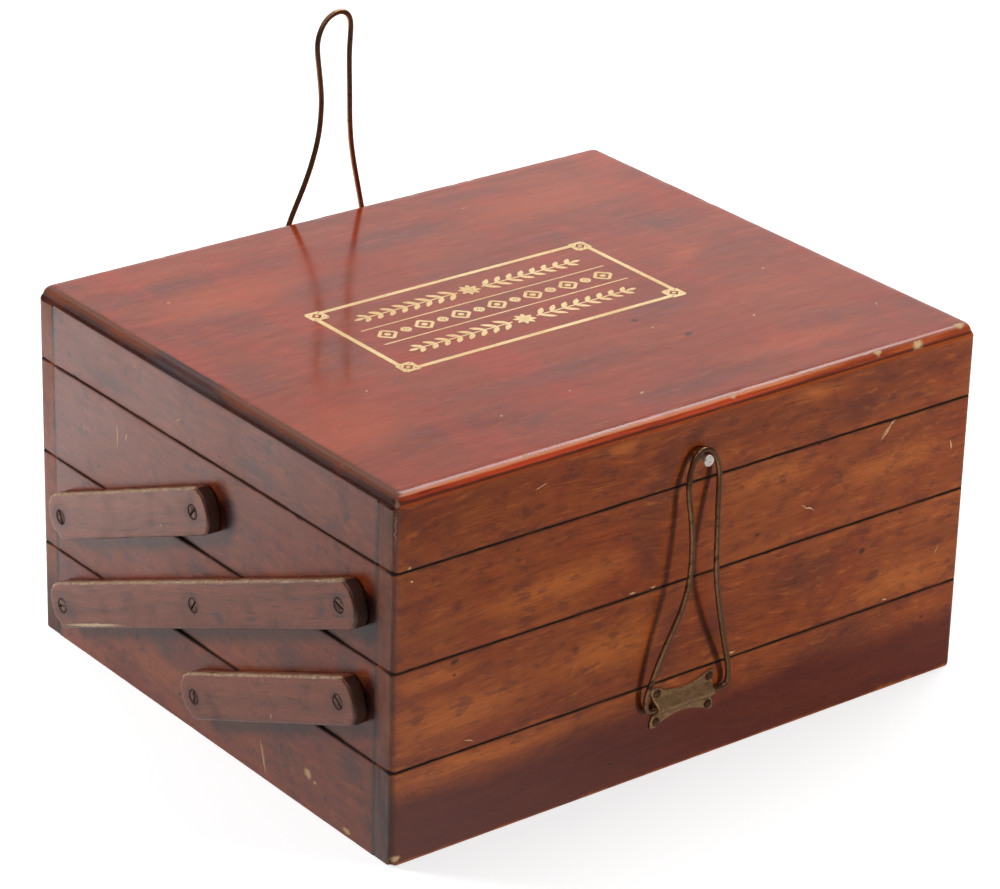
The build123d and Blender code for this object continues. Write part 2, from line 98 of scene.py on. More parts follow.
# ---------------------------------------------------------------- shader graphs
class Graph:
    """A short way to write a node tree: each call adds a node and gives its output."""

    def __init__(self, tree):
        self.tree = tree
        self.tree.nodes.clear()

    def feed(self, socket, value):
        """Link an output to a socket, or set the socket to a plain value."""
        if isinstance(value, bpy.types.NodeSocket):
            self.tree.links.new(value, socket)
        else:
            socket.default_value = value

    def node(self, kind, inputs=None, **settings):
        """Add a node with its settings, and fill its inputs, given by name or number."""
        made = self.tree.nodes.new(kind)
        for name, value in settings.items():
            setattr(made, name, value)
        for key, value in (inputs or {}).items():
            self.feed(made.inputs[key], value)
        return made

    def math(self, operation, a, b=0.0, clamp=False):
        return self.node("ShaderNodeMath", {0: a, 1: b}, operation=operation, use_clamp=clamp).outputs[0]

    def times(self, a, b):
        return self.math("MULTIPLY", a, b)

    def plus(self, a, b, clamp=False):
        return self.math("ADD", a, b, clamp)

    def minus(self, a, b):
        return self.math("SUBTRACT", a, b)

    def most(self, a, b):
        return self.math("MAXIMUM", a, b)

    def absolute(self, a):
        return self.math("ABSOLUTE", a)

    def span(self, value, low, high, to_low=0.0, to_high=1.0):
        """Map low..high smoothly to to_low..to_high, clamped."""
        ends = {"Value": value, "From Min": low, "From Max": high, "To Min": to_low, "To Max": to_high}
        return self.node("ShaderNodeMapRange", ends, interpolation_type="SMOOTHSTEP").outputs[0]

    def mix(self, share, a, b, blend="MIX"):
        a, b = (c if isinstance(c, bpy.types.NodeSocket) else (*c, 1.0) for c in (a, b))
        inputs = {0: share, 6: a, 7: b}
        return self.node("ShaderNodeMix", inputs, data_type="RGBA", blend_type=blend).outputs[2]

    def coats(self, colour, *coats):
        """Lay coats over a colour, each a share, a colour and, if not plain, a blend mode."""
        for share, *coat in coats:
            colour = self.mix(share, colour, *coat)
        return colour

    def place(self):
        """Position in the shared frame at rest, in metres, so that a pattern moves with its piece."""
        return self.node("ShaderNodeTexCoord").outputs["Object"]

    def normal(self):
        return self.node("ShaderNodeTexCoord").outputs["Normal"]

    def split(self, vector):
        return self.node("ShaderNodeSeparateXYZ", {0: vector}).outputs

    def grain(self, place, scale, detail, rough, distortion=0.0, shift=(0, 0, 0)):
        """Noise at one scale, or stretched by a scale for each axis."""
        if not isinstance(scale, tuple):
            scale = (scale, scale, scale)
        inputs = {"Vector": place, "Scale": scale, "Location": shift}
        inputs = {"Vector": self.node("ShaderNodeMapping", inputs).outputs[0], "Scale": 1.0, "Detail": detail}
        inputs |= {"Roughness": rough, "Distortion": distortion}
        return self.node("ShaderNodeTexNoise", inputs).outputs["Fac"]

    def attribute(self, name):
        """A number stored on the mesh's points, 0 where a piece has none."""
        return self.node("ShaderNodeAttribute", attribute_name=name).outputs["Fac"]

    def combine(self, x, y, z):
        return self.node("ShaderNodeCombineXYZ", {0: x, 1: y, 2: z}).outputs[0]

    def add(self, a, b):
        return self.node("ShaderNodeVectorMath", {0: a, 1: b}, operation="ADD").outputs[0]

    def jitter(self, vector, scale, reach):
        """Push a vector about by smooth noise, by up to half of reach."""
        push = self.node("ShaderNodeTexNoise", {"Vector": vector, "Scale": scale}).outputs["Color"]
        inputs = {0: push, 1: (reach, reach, reach), 2: vector}
        moved = self.node("ShaderNodeVectorMath", inputs, operation="MULTIPLY_ADD").outputs[0]
        return self.add(moved, (-reach / 2, -reach / 2, -reach / 2))

    def blots(self, place, face, soft, table, depth=6.0):
        """Cover of the soft-edged ellipses of a table of marks on one face."""
        nearest = None
        for u, v, half_u, half_v, turn in table:
            turn = math.radians(turn)
            centre, size, spin = {
                "front": ((u - HALF_WIDTH, -HALF_DEPTH, v), (half_u, depth, half_v), (0, -turn, 0)),
                "left": ((-HALF_WIDTH, u - HALF_DEPTH, v), (depth, half_u, half_v), (turn, 0, 0)),
                "top": ((u - HALF_WIDTH, v - HALF_DEPTH, LID_TOP), (half_u, half_v, depth), (0, 0, turn)),
            }[face]
            inputs = {
                "Vector": place, "Location": [c * MM for c in centre],
                "Rotation": spin, "Scale": [c * MM for c in size],
            }
            spread = self.node("ShaderNodeMapping", inputs, vector_type="TEXTURE").outputs[0]
            reach = self.node("ShaderNodeVectorMath", {0: spread}, operation="LENGTH").outputs["Value"]
            nearest = reach if nearest is None else self.math("MINIMUM", nearest, reach)
        return self.span(nearest, 1 + 0.5 * soft, 1 - soft)

    def bump(self, height, strength, distance, normal=None):
        inputs = {"Height": height, "Strength": strength, "Distance": distance}
        if normal is not None:
            inputs["Normal"] = normal
        return self.node("ShaderNodeBump", inputs).outputs[0]

    def surface(self, **inputs):
        """A Principled surface wired to the output."""
        inputs = {name.replace("_", " "): value for name, value in inputs.items()}
        shader = self.node("ShaderNodeBsdfPrincipled", inputs)
        self.node("ShaderNodeOutputMaterial", {"Surface": shader.outputs[0]})


def material(name):
    made = bpy.data.materials.new(name)
    made.use_nodes = True
    return made, Graph(made.node_tree)


# ---------------------------------------------------------------- materials
SEAMS = (42.5, 86.5, 130.0)  # where one tray rests on the next
PIVOTS = {  # places of the arms' screws, along and up
    "base": ((104.0, 22.0), (1.5, 22.0)),
    "middle": ((104.0, 64.75), (1.5, 64.75), (-101.0, 64.75)),
    "upper": ((1.5, 107.5), (-101.0, 107.5)),
}
TAN, SOOT_AND_SHADE = (0.42, 0.235, 0.11), (0.014, 0.006, 0.004)

# Marks seen on the case: centre across and up (or back, on the top), half sizes, turn in degrees.
# Across is counted from the left of the front, and from the front of the left side, in mm.
FRONT_ORANGE = (
    (80, 103, 44, 7, 2), (110, 65, 24, 10, 0), (262, 110, 30, 6, 3), (272, 52, 34, 7, 2),
    (215, 153, 12, 4, 0), (110, 155, 12, 3, 0), (30, 60, 34, 9, 0), (45, 37, 44, 5, 0), (195, 121, 26, 5, 2),
    (18, 80, 20, 5, 0),
)
FRONT_STAINS = (
    (236, 32, 34, 11, 4), (45, 14, 18, 8, 0), (125, 20, 42, 9, 0), (132, 130, 22, 9, 60),
    (215, 70, 24, 12, 0), (128, 104, 8, 14, 20), (140, 58, 10, 22, -12), (150, 150, 9, 4, 30),
    (240, 139, 18, 5, 0), (165, 62, 12, 10, 0),
)
FRONT_SPOTS = (
    (247, 72, 2.2, 1.5, 10), (30, 84, 2.1, 1.2, 0), (30, 79, 1.0, 0.8, 0), (92, 71, 1.6, 0.5, 12),
    (187, 96, 2.4, 0.6, 8), (268, 84, 1.2, 0.6, 0), (219, 128, 1.8, 0.5, 0), (60, 124, 1.2, 0.5, 20),
    (285, 30, 1.6, 0.6, 0), (112, 12, 2.0, 0.6, 0),
)
FRONT_BARE = (
    (258, 127, 6.0, 0.35, 40), (256, 124, 4.0, 0.28, 46), (295, 109, 0.4, 2.6, 8), (7, 130.5, 1.0, 1.3, 0),
    (8, 125, 0.7, 0.6, 0), (71, 149, 3.2, 0.22, 14), (214, 101, 4.5, 0.22, -28), (120, 88.0, 2.0, 0.4, 0),
    (131, 87.8, 1.5, 0.35, 0), (291, 60, 2.4, 0.25, 60), (38, 46, 3.0, 0.22, -20), (176, 44.6, 1.7, 0.35, 0),
    (262, 44.4, 1.5, 0.35, 0), (0.6, 148, 0.22, 8.5, 0), (2.4, 3.4, 2.4, 1.5, 0),
)
LEFT_BARE = (
    (89, 10.5, 8.2, 0.62, 75), (57, 17, 2.6, 2.2, 20), (52, 15, 1.0, 0.8, 0), (30, 3.0, 3.2, 1.2, 0),
    (197, 115, 0.42, 7.4, 0), (190, 117, 0.45, 2.4, 20), (62, 102, 3.0, 0.25, 30), (150, 140, 3.4, 0.22, -35),
    (25, 98, 0.3, 3.0, 10), (176, 50, 2.6, 0.25, 15), (12, 40, 0.4, 3.4, 0),
)
LEFT_STAINS = (
    (160, 31, 10, 7, 0), (118, 28, 12, 9, -20), (70, 63, 12, 9, 0), (30, 76, 10, 10, 0), (18, 98, 9, 12, 0),
    (136, 77, 9, 5, 0), (238, 60, 9, 12, 0), (28, 34, 9, 10, 0), (204, 138, 20, 5, 0), (96, 138, 16, 5, 0),
)
LEFT_SPOTS = (
    (233, 139, 1.5, 1.4, 0), (240, 153, 1.3, 1.0, 0), (184, 26, 1.2, 3.0, 20), (150, 12, 1.2, 0.8, 0),
    (75, 21, 1.0, 2.2, 0), (120, 134, 1.4, 0.6, 0), (44, 12, 1.0, 1.6, 0), (212, 96, 1.3, 0.9, 0),
)
# Painted shadow on the side beside the ends of the arms, where they shade the wall and block its reflection.
LEFT_ARM_END_SHADE = ((113.5, 111, 7.0, 10.0, 0), (15.5, 106, 5.6, 13.0, 4), (15, 70, 5.6, 10.0, 0))
ARM_STAINS = (
    (110, 67, 2.2, 1.6, 0), (112, 67, 5.0, 3.2, 0), (16, 108, 6, 5, 0), (226, 22, 5, 4, 0),
    (40, 101, 4, 5, 0),
)
ARM_BARE = (
    (208.5, 22.8, 29.0, 0.8, -22.6), (236, 13.2, 1.6, 1.0, 40), (60, 34, 2.2, 0.3, 10), (74, 38, 0.3, 1.8, 0),
)
TOP_ORANGE = (
    (254, 131, 15, 6, 20), (20, 60, 30, 22, 20), (240, 215, 50, 14, 0), (60, 200, 40, 16, 0),
    (230, 30, 40, 8, 0),
)
TOP_GREY = (
    (18, 125, 12, 24, 0), (90, 28, 10, 4, 20), (205, 90, 26, 14, 20), (130, 60, 40, 10, 0),
    (150, 215, 34, 8, 0), (66, 130, 12, 16, 0), (100, 190, 30, 9, 12), (270, 165, 22, 12, 0),
    (165, 20, 44, 8, 0), (215, 240, 24, 6, 0),
)
TOP_SPECKS = (
    (141, 24, 1.4, 0.6, 30), (270, 98, 0.8, 0.5, 0), (232, 60, 1.3, 0.5, 60), (80, 38, 0.8, 0.6, 0),
    (65, 3, 1.4, 0.9, 0), (171, 2, 1.8, 0.8, 0), (272, 1, 3.2, 1.0, 0), (297, 3, 3.0, 1.6, 0),
    (188, 74, 0.9, 0.35, 20), (35, 210, 1.0, 0.5, 0), (205, 228, 1.2, 0.4, 0), (118, 42, 0.6, 0.5, 0),
    (284, 40, 1.0, 0.4, 70), (50, 88, 0.7, 0.5, 0), (250, 2, 2.2, 0.9, 0), (1.3, 1.3, 1.3, 1.3, 0),
)


def across(axis, along, over):
    """Scales of a pattern drawn out along one axis."""
    return tuple(along if n == axis else over for n in range(3))


def mahogany(name, axis, tones, gloss, relief, marks, hazy=()):
    """Stained and varnished mahogany whose grain runs along an axis, worn and marked, with painted shade, a
    painted highlight and a painted reflection in places.
    """
    made, g = material(name)
    face = marks["face"]
    place = g.place()
    x, y, z = (g.times(v, 1000.0) for v in g.split(place))
    plank, wear, dirt_and_shade = g.attribute("plank"), g.attribute("wear"), g.attribute("dirt_and_shade")
    log = g.add(place, g.combine(g.times(plank, 0.37), g.times(plank, 0.53), g.times(plank, 0.71)))
    wobbly = g.jitter(place, 70.0, 0.006)
    bent = g.jitter(log, 9.0, 0.022)
    bands = g.grain(bent, across(axis, 2.4, 46), 5.0, 0.62)
    streaks = g.grain(bent, across(axis, 7, 240), 4.0, 0.6)
    fibres = g.grain(bent, across(axis, 34, 1250), 3.0, 0.6)
    pores = g.span(g.grain(bent, across(axis, 62, 1500), 1.0, 0.5, shift=(5, 2, 8)), 0.60, 0.72)
    flecks = g.grain(bent, across(axis, 70, 400), 5.0, 0.7, shift=(7, 1, 3))
    ribbon = g.grain(log, across(axis, 48, 15), 2.0, 0.5, 0.4)
    clouds = g.grain(log, 13, 5.0, 0.6)
    grime = g.grain(place, 38, 6.0, 0.68, shift=(4, 4, 4))
    crumbs = g.grain(place, 420, 4.0, 0.6)
    pale, middle, dark, red, warm = tones
    colour = g.mix(g.span(bands, 0.22, 0.74), dark, pale)
    colour = g.coats(
        colour,
        (g.span(clouds, 0.38, 0.66), middle),
        (g.times(g.span(ribbon, 0.48, 0.74), 0.5), red),
    )
    warmth = g.blots(wobbly, face, 0.9, marks["warm"])
    colour = g.mix(g.times(warmth, g.span(streaks, 0.2, 0.75, 0.45, 0.95)), colour, warm)
    stain = g.blots(wobbly, face, 0.95, marks["stain"])
    stain = g.most(stain, g.times(g.span(grime, marks["grime_from"], marks["grime_from"] + 0.20), 0.6))
    colour = g.mix(g.times(stain, marks["stain_share"]), colour, marks["stain_colour"])
    mottle = g.grain(log, across(axis, 90, 175), 5.0, 0.64, shift=(2, 6, 4))
    colour = g.coats(
        colour,
        (g.span(mottle, 0.50, 0.68, 0.0, marks["mottle"]), marks["stain_colour"]),
        (g.span(mottle, 0.46, 0.32, 0.0, 0.2 * marks["mottle"]), warm),
        (g.span(flecks, 0.53, 0.70, 0.0, 0.52), warm),
        (g.span(flecks, 0.47, 0.30, 0.0, 1.3 * marks["pores"]), dark),
    )
    if face == "front":
        # the bottom board is darker and redder towards the floor
        low = g.plus(z, g.times(g.minus(clouds, 0.5), 26.0))
        colour = g.mix(g.span(low, 35.0, 22.0, 0.0, 0.9), colour, (0.072, 0.008, 0.003))
    colour = g.coats(
        colour,
        (g.span(streaks, 0.42, 0.70, 0.0, 0.30), dark),
        (g.span(fibres, 0.34, 0.72, 0.0, 0.30), (0.35, 0.30, 0.28), "MULTIPLY"),
        (g.times(pores, marks["pores"]), (0.25, 0.20, 0.18), "MULTIPLY"),
    )
    spots = g.blots(wobbly, face, 0.7, marks["spots"])
    colour = g.mix(g.times(spots, 0.85), colour, SOOT_AND_SHADE)
    # ends of the boards show greyer end grain
    normal = g.split(g.normal())[axis]
    ends = g.span(g.absolute(normal), 0.75, 0.95)
    end_grain = g.span(g.grain(log, (300, 300, 60), 4.0, 0.6), 0.3, 0.7)
    cut = g.mix(end_grain, (0.040, 0.022, 0.018), (0.120, 0.056, 0.042))
    grey = g.times(g.span(z, 44.0, 41.5, 0.42, 0.92), g.span(y, 60.0, -60.0, 0.4, 1.0))
    colour = g.mix(g.times(ends, grey), colour, cut)
    painted_highlight = 0.0
    if face == "top":
        # the moulded edge: along the left a painted reflection, brown above and nearly black below with a
        # bluish-black patch, for the bright rear and the dark horizon it mirrors; along the front red, with a
        # dark line at the joint and a painted warm highlight on its crest
        uneven = g.times(g.minus(grime, 0.5), 2.6)
        left_edge_reflection = g.span(g.plus(x, uneven), -147.4, -148.2, 0.0, 0.93)
        height = g.plus(z, g.times(uneven, 0.35))
        painted_reflection_colour = g.mix(g.span(height, 161.2, 160.3), (0.135, 0.045, 0.024), (0.026, 0.006, 0.004))
        bluish_reflection = g.times(g.span(y, -12.0, 2.0), g.span(y, 48.0, 34.0))
        painted_reflection_colour = g.mix(g.times(bluish_reflection, 0.75), painted_reflection_colour, (0.030, 0.026, 0.030))
        colour = g.mix(left_edge_reflection, colour, painted_reflection_colour)
        front_edge = g.times(g.span(y, -126.0, -126.9), g.span(x, -151.2, -149.8))
        red = g.mix(g.span(x, 10.0, 80.0), (0.42, 0.040, 0.009), (0.33, 0.068, 0.012))
        drawn = g.grain(place, (26, 420, 620), 4.0, 0.6, shift=(1, 7, 2))
        red = g.mix(g.span(drawn, 0.44, 0.60, 0.0, 0.85), red, (0.120, 0.010, 0.004))
        # painted highlight: a warm pale band along the crest of the front edge, fading towards the right; the
        # band is roughened as well
        painted_highlight = g.times(g.span(height, 161.4, 162.0), g.span(x, 40.0, 90.0, 0.85, 0.2))
        red = g.mix(painted_highlight, red, (0.66, 0.25, 0.11))
        painted_highlight = g.times(painted_highlight, front_edge)
        colour = g.mix(g.times(front_edge, 0.85), colour, red)
        below = g.times(front_edge, g.span(height, 159.6, 159.1, 0.0, 0.85))
        colour = g.mix(below, colour, (0.215, 0.045, 0.010))
        line = g.span(g.absolute(g.minus(height, 159.3)), 0.75, 0.25)
        line = g.times(g.times(front_edge, line), g.span(grime, 0.32, 0.5, 0.45, 0.95))
        colour = g.mix(line, colour, (0.035, 0.006, 0.003))
    if face == "left":
        # painted shade: a dark band along the top of the side wall, just under the lid's moulded edge
        colour = g.mix(g.span(z, 156.3, 157.2, 0.0, 0.75), colour, (0.040, 0.013, 0.009))
        spatter = g.grain(place, (150, 170, 210), 4.0, 0.62, shift=(3, 3, 8))
        spatter = g.times(g.span(spatter, 0.54, 0.64), g.span(grime, 0.42, 0.58))
        colour = g.mix(g.times(spatter, 0.70), colour, (0.048, 0.010, 0.006))
        # painted shadow beside the ends of the arms
        painted_arm_end_shade = g.blots(g.jitter(place, 90.0, 0.003), "left", 0.5, LEFT_ARM_END_SHADE)
        colour = g.mix(painted_arm_end_shade, colour, (0.032, 0.005, 0.003))
    # rubbed edges: first the colour of thin varnish, then bare wood
    rubbed = g.plus(wear, g.times(g.minus(grime, 0.52), 2.3))
    colour = g.mix(g.times(g.span(rubbed, 0.45, 1.0), marks["thin_varnish"]), colour, warm)
    flake = g.plus(rubbed, g.times(g.minus(crumbs, 0.5), 1.2))
    bare = g.times(g.span(flake, marks["bare_from"], marks["bare_from"] + 0.22), g.span(wear, 0.3, 0.7))
    scratches = g.blots(g.jitter(place, 500.0, 0.0016), face, 0.5, marks["bare"])
    if hazy:
        scratches = g.most(scratches, g.blots(g.jitter(place, 500.0, 0.0016), "left", 0.5, hazy))
    nicks = g.grain(place, across(axis, 150, 620), 2.0, 0.5, shift=(9, 1, 3))
    bare = g.most(bare, g.most(scratches, g.span(nicks, 0.80, 0.83)))
    bare_wood = g.mix(g.span(fibres, 0.3, 0.7), tuple(0.62 * c for c in TAN), TAN)
    bare_wood = g.mix(scratches, bare_wood, (0.50, 0.33, 0.17))
    colour = g.mix(g.times(bare, 0.92), colour, bare_wood)
    joint = g.absolute(g.minus(g.absolute(y), INSIDE_Y))
    joint = g.times(g.span(joint, 2.6, 0.1), g.span(g.absolute(x), 151.0, 151.6))
    joint = g.times(joint, g.span(grime, 0.34, 0.60, 0.25, 0.9))
    colour = g.mix(g.times(joint, g.span(z, 158.0, 157.0)), colour, (0.030, 0.014, 0.009))
    # dirt and painted shade: the rounded edges where boards meet are painted near black, as a shaded gap
    caked_dirt_and_shade = g.times(dirt_and_shade, g.span(grime, 0.30, 0.52, 0.72, 1.0))
    colour = g.mix(caked_dirt_and_shade, colour, SOOT_AND_SHADE)
    # inside, the boards are unvarnished
    inside_x = g.span(g.absolute(x), INSIDE_X + 0.25, INSIDE_X + 0.1)
    inside_y = g.span(g.absolute(y), INSIDE_Y + 0.25, INSIDE_Y + 0.1)
    inside = g.times(g.times(inside_x, inside_y), g.span(z, LID_JOINT + 0.3, LID_JOINT + 0.1))
    plain_wood = g.mix(g.span(streaks, 0.3, 0.7), (0.26, 0.125, 0.055), (0.36, 0.19, 0.09))
    plain_wood = g.mix(g.times(pores, 0.5), plain_wood, (0.12, 0.05, 0.025))
    colour = g.mix(inside, colour, plain_wood)
    rough = g.span(clouds, 0.35, 0.7, gloss, gloss + 0.09)
    rough = g.plus(rough, g.span(grime, 0.5, 0.8, 0.0, 0.10))
    dull = g.most(g.most(bare, inside), g.most(caked_dirt_and_shade, g.times(ends, 0.35)))
    rough = g.plus(rough, g.times(wear, 0.18))
    rough = g.plus(rough, g.times(painted_highlight, 0.22))
    rough = g.plus(rough, g.times(dull, 0.45), clamp=True)
    relief_noise = g.minus(g.times(fibres, 0.45), g.times(pores, 0.5))
    relief_noise = g.minus(relief_noise, g.times(bare, 0.8))
    waves = g.bump(g.grain(log, across(axis, 30, 85), 3.0, 0.5), relief, 0.0007)
    g.surface(Base_Color=colour, Roughness=rough, Normal=g.bump(relief_noise, relief, 0.00012, waves))
    return made


WALL_TONES = (  # pale, middle, dark, red, warm
    (0.275, 0.062, 0.009), (0.205, 0.038, 0.005), (0.110, 0.018, 0.003), (0.185, 0.022, 0.004),
    (0.380, 0.098, 0.014),
)
SIDE_TONES = (
    (0.228, 0.041, 0.006), (0.174, 0.026, 0.004), (0.094, 0.013, 0.003), (0.168, 0.017, 0.004),
    (0.295, 0.064, 0.010),
)
TOP_TONES = (
    (0.375, 0.052, 0.008), (0.300, 0.033, 0.006), (0.170, 0.021, 0.006), (0.415, 0.029, 0.005),
    (0.450, 0.066, 0.009),
)
FRONT_MARKS = {
    "face": "front", "warm": FRONT_ORANGE, "stain": FRONT_STAINS, "spots": FRONT_SPOTS, "bare": FRONT_BARE,
    "stain_colour": (0.075, 0.015, 0.008), "stain_share": 0.66, "mottle": 0.62, "pores": 0.36,
    "grime_from": 0.56, "thin_varnish": 0.55, "bare_from": 1.25,
}
LEFT_MARKS = {
    "face": "left", "warm": ((60, 96, 30, 6, 10), (150, 18, 60, 8, 0)), "mottle": 0.45, "pores": 0.30,
    "stain": LEFT_STAINS, "spots": LEFT_SPOTS, "bare": LEFT_BARE, "stain_colour": (0.054, 0.012, 0.007),
    "stain_share": 0.82, "grime_from": 0.52, "thin_varnish": 0.45, "bare_from": 1.25,
}
TOP_MARKS = {
    "face": "top", "warm": TOP_ORANGE, "stain": TOP_GREY,
    "spots": ((196, 60, 3.0, 1.6, 30), (185, 84, 2.0, 1.2, 0)), "bare": TOP_SPECKS,
    "stain_colour": (0.150, 0.034, 0.022), "stain_share": 0.6, "mottle": 0.12, "pores": 0.16,
    "grime_from": 0.55, "thin_varnish": 0.15, "bare_from": 1.42,
}
wood_x = mahogany("case_wood_x", 0, WALL_TONES, 0.24, 0.30, FRONT_MARKS, LEFT_BARE)
wood_y = mahogany("case_wood_y", 1, SIDE_TONES, 0.22, 0.30, LEFT_MARKS)
top_wood = mahogany("lid_top_wood", 0, TOP_TONES, 0.11, 0.16, TOP_MARKS)


ARM_STEP = (42.75, 102.5)  # up and forward from one pivot of an arm to the next
ARM_SLOPE, ARM_PITCH = math.atan2(*ARM_STEP), math.hypot(*ARM_STEP)


def make_arm_wood():
    """The arms: browner than the case, rubbed along every edge, tan along their upward outer edges as painted
    light as well as wear, and black round the screws, with dirt and painted shade in the countersinks.
    """
    made, g = material("arm_wood")
    place = g.place()
    plank, wear, dirt_and_shade = g.attribute("plank"), g.attribute("wear"), g.attribute("dirt_and_shade")
    log = g.add(place, g.combine(0.0, g.times(plank, 0.5), plank))
    # the grain runs along the arm
    inputs = {"Vector": g.jitter(log, 12.0, 0.010), "Rotation": (ARM_SLOPE, 0, 0)}
    turned = g.node("ShaderNodeMapping", inputs).outputs[0]
    streaks = g.grain(turned, (160, 5, 190), 4.0, 0.62)
    fibres = g.grain(turned, (1100, 34, 1250), 3.0, 0.6)
    pores = g.span(g.grain(turned, (1300, 60, 1500), 1.0, 0.5, shift=(3, 1, 2)), 0.59, 0.70)
    grime = g.grain(place, 70, 6.0, 0.66, shift=(2, 7, 1))
    crumbs = g.grain(place, 500, 4.0, 0.6)
    colour = g.mix(g.span(streaks, 0.32, 0.68), (0.135, 0.030, 0.012), (0.200, 0.047, 0.019))
    colour = g.coats(
        colour,
        (g.span(grime, 0.50, 0.74, 0.0, 0.7), (0.050, 0.020, 0.014)),
        (g.span(fibres, 0.35, 0.72, 0.0, 0.35), (0.35, 0.30, 0.28), "MULTIPLY"),
        (g.times(pores, 0.6), (0.2, 0.17, 0.15), "MULTIPLY"),
    )
    halos = [(HALF_DEPTH + y, z, 5.0, 5.0, 0) for stops in PIVOTS.values() for y, z in stops]
    halo = g.blots(g.jitter(place, 90.0, 0.006), "left", 0.8, halos, 400.0)
    colour = g.mix(g.times(halo, 0.74), colour, (0.024, 0.010, 0.008))
    stains = g.blots(g.jitter(place, 90.0, 0.008), "left", 0.9, ARM_STAINS, 12.0)
    colour = g.mix(g.times(stains, 0.8), colour, (0.018, 0.011, 0.010))
    # painted light as well as wear: the outer part of faces that point up is made tan, as if lit from above
    up = g.split(g.normal())[2]
    outer = g.span(g.absolute(g.split(place)[0]), 0.1568, 0.1582)
    up = g.times(g.span(up, 0.25, 0.75, 0.0, 0.42), outer)
    ahead = (0, -math.cos(ARM_SLOPE), math.sin(ARM_SLOPE))
    end = g.node("ShaderNodeVectorMath", {0: g.normal(), 1: ahead}, operation="DOT_PRODUCT")
    nose = g.span(end.outputs["Value"], 0.45, 0.8)
    colour = g.mix(g.times(nose, 0.75), colour, (0.070, 0.036, 0.026))
    rubbed = g.plus(g.plus(wear, up), g.times(g.minus(grime, 0.5), 1.9))
    rubbed = g.plus(rubbed, g.times(g.minus(crumbs, 0.5), 0.4))
    bare = g.times(g.span(rubbed, 0.72, 1.10), g.span(wear, 0.45, 0.8))
    bare_wood = g.mix(g.span(crumbs, 0.35, 0.65), (0.22, 0.145, 0.090), (0.42, 0.300, 0.190))
    colour = g.mix(g.times(bare, 0.85), colour, bare_wood)
    line = g.blots(g.jitter(place, 500.0, 0.0012), "left", 0.4, ARM_BARE, 12.0)
    colour = g.mix(line, colour, (0.50, 0.35, 0.20))
    scars = g.span(g.grain(place, (90, 260, 260), 2.0, 0.5, shift=(1, 5, 2)), 0.76, 0.80)
    colour = g.coats(colour, (g.times(scars, 0.7), (0.30, 0.18, 0.11)), (dirt_and_shade, SOOT_AND_SHADE))
    dull = g.most(bare, dirt_and_shade)
    rough = g.plus(g.span(grime, 0.4, 0.75, 0.26, 0.42), g.times(dull, 0.35), clamp=True)
    relief = g.minus(g.times(fibres, 0.5), g.times(pores, 0.5))
    waves = g.bump(g.grain(turned, (70, 24, 90), 3.0, 0.5), 0.35, 0.001)
    g.surface(Base_Color=colour, Roughness=rough, Normal=g.bump(relief, 0.4, 0.00012, waves))
    return made


def make_raw_wood():
    """Unvarnished softwood of the tray floors and dividers, with fine lines of grain and old dust."""
    made, g = material("inner_wood")
    place = g.place()
    bent = g.jitter(place, 6.0, 0.02)
    rings = g.grain(bent, (3.0, 60, 60), 5.0, 0.6)
    fibres = g.grain(bent, (30, 1100, 1100), 3.0, 0.6)
    dust = g.grain(place, 22, 6.0, 0.65)
    colour = g.mix(g.span(rings, 0.32, 0.68), (0.27, 0.14, 0.066), (0.44, 0.27, 0.145))
    colour = g.coats(
        colour,
        (g.span(dust, 0.5, 0.75, 0.0, 0.6), (0.20, 0.12, 0.075)),
        (g.span(fibres, 0.35, 0.7, 0.0, 0.35), (0.45, 0.38, 0.32), "MULTIPLY"),
    )
    rough = g.span(dust, 0.3, 0.7, 0.55, 0.72)
    g.surface(Base_Color=colour, Roughness=rough, Normal=g.bump(fibres, 0.45, 0.00015))
    return made


def old_metal(name, clean, tarnish, dark, rough, cover, worn_bright=0.0, metallic=(1.0, 0.72)):
    """Metal under uneven tarnish, with pits, fine scratches and brighter rubbed edges."""
    made, g = material(name)
    place = g.place()
    patches = g.grain(place, 230, 5.0, 0.65, 0.5)
    fleck = g.grain(place, 1500, 3.0, 0.6)
    scratch = g.grain(place, (90, 2400, 2400), 2.0, 0.5)
    film = g.span(patches, 0.62 - cover, 0.78 - cover)
    colour = g.mix(film, clean, tarnish)
    colour = g.mix(g.span(fleck, 0.52, 0.74, 0.0, 0.75), colour, dark)
    if worn_bright:
        colour = g.mix(g.times(g.attribute("wear"), worn_bright), colour, clean)
    colour = g.mix(g.attribute("dirt_and_shade"), colour, tuple(0.3 * c for c in dark))
    roughness = g.plus(g.span(film, 0.0, 1.0, rough, rough + 0.18), g.span(fleck, 0.4, 0.7, 0.0, 0.12))
    height = g.plus(g.times(fleck, 0.6), g.times(scratch, 0.4))
    g.surface(
        Base_Color=colour, Roughness=roughness, Metallic=g.span(film, 0.0, 1.0, *metallic),
        Normal=g.bump(height, 0.35, 0.00006),
    )
    return made


def make_gilt():
    """Gold leaf under old varnish, rubbed through in places."""
    made, g = material("gilt")
    place = g.place()
    rub = g.grain(place, 210, 5.0, 0.7)
    fleck = g.grain(place, 1300, 3.0, 0.6)
    tone = g.grain(place, 30, 3.0, 0.5)
    colour = g.mix(g.span(tone, 0.35, 0.65), (0.76, 0.51, 0.22), (0.86, 0.63, 0.32))
    colour = g.coats(
        colour,
        (g.span(fleck, 0.50, 0.72, 0.0, 0.45), (0.34, 0.15, 0.05)),
        (g.span(rub, 0.66, 0.76, 0.0, 0.9), (0.22, 0.035, 0.012)),
    )
    g.surface(
        Base_Color=colour, Roughness=g.span(rub, 0.3, 0.7, 0.26, 0.42), Metallic=0.25,
        Normal=g.bump(fleck, 0.3, 0.00005)
    )
    return made


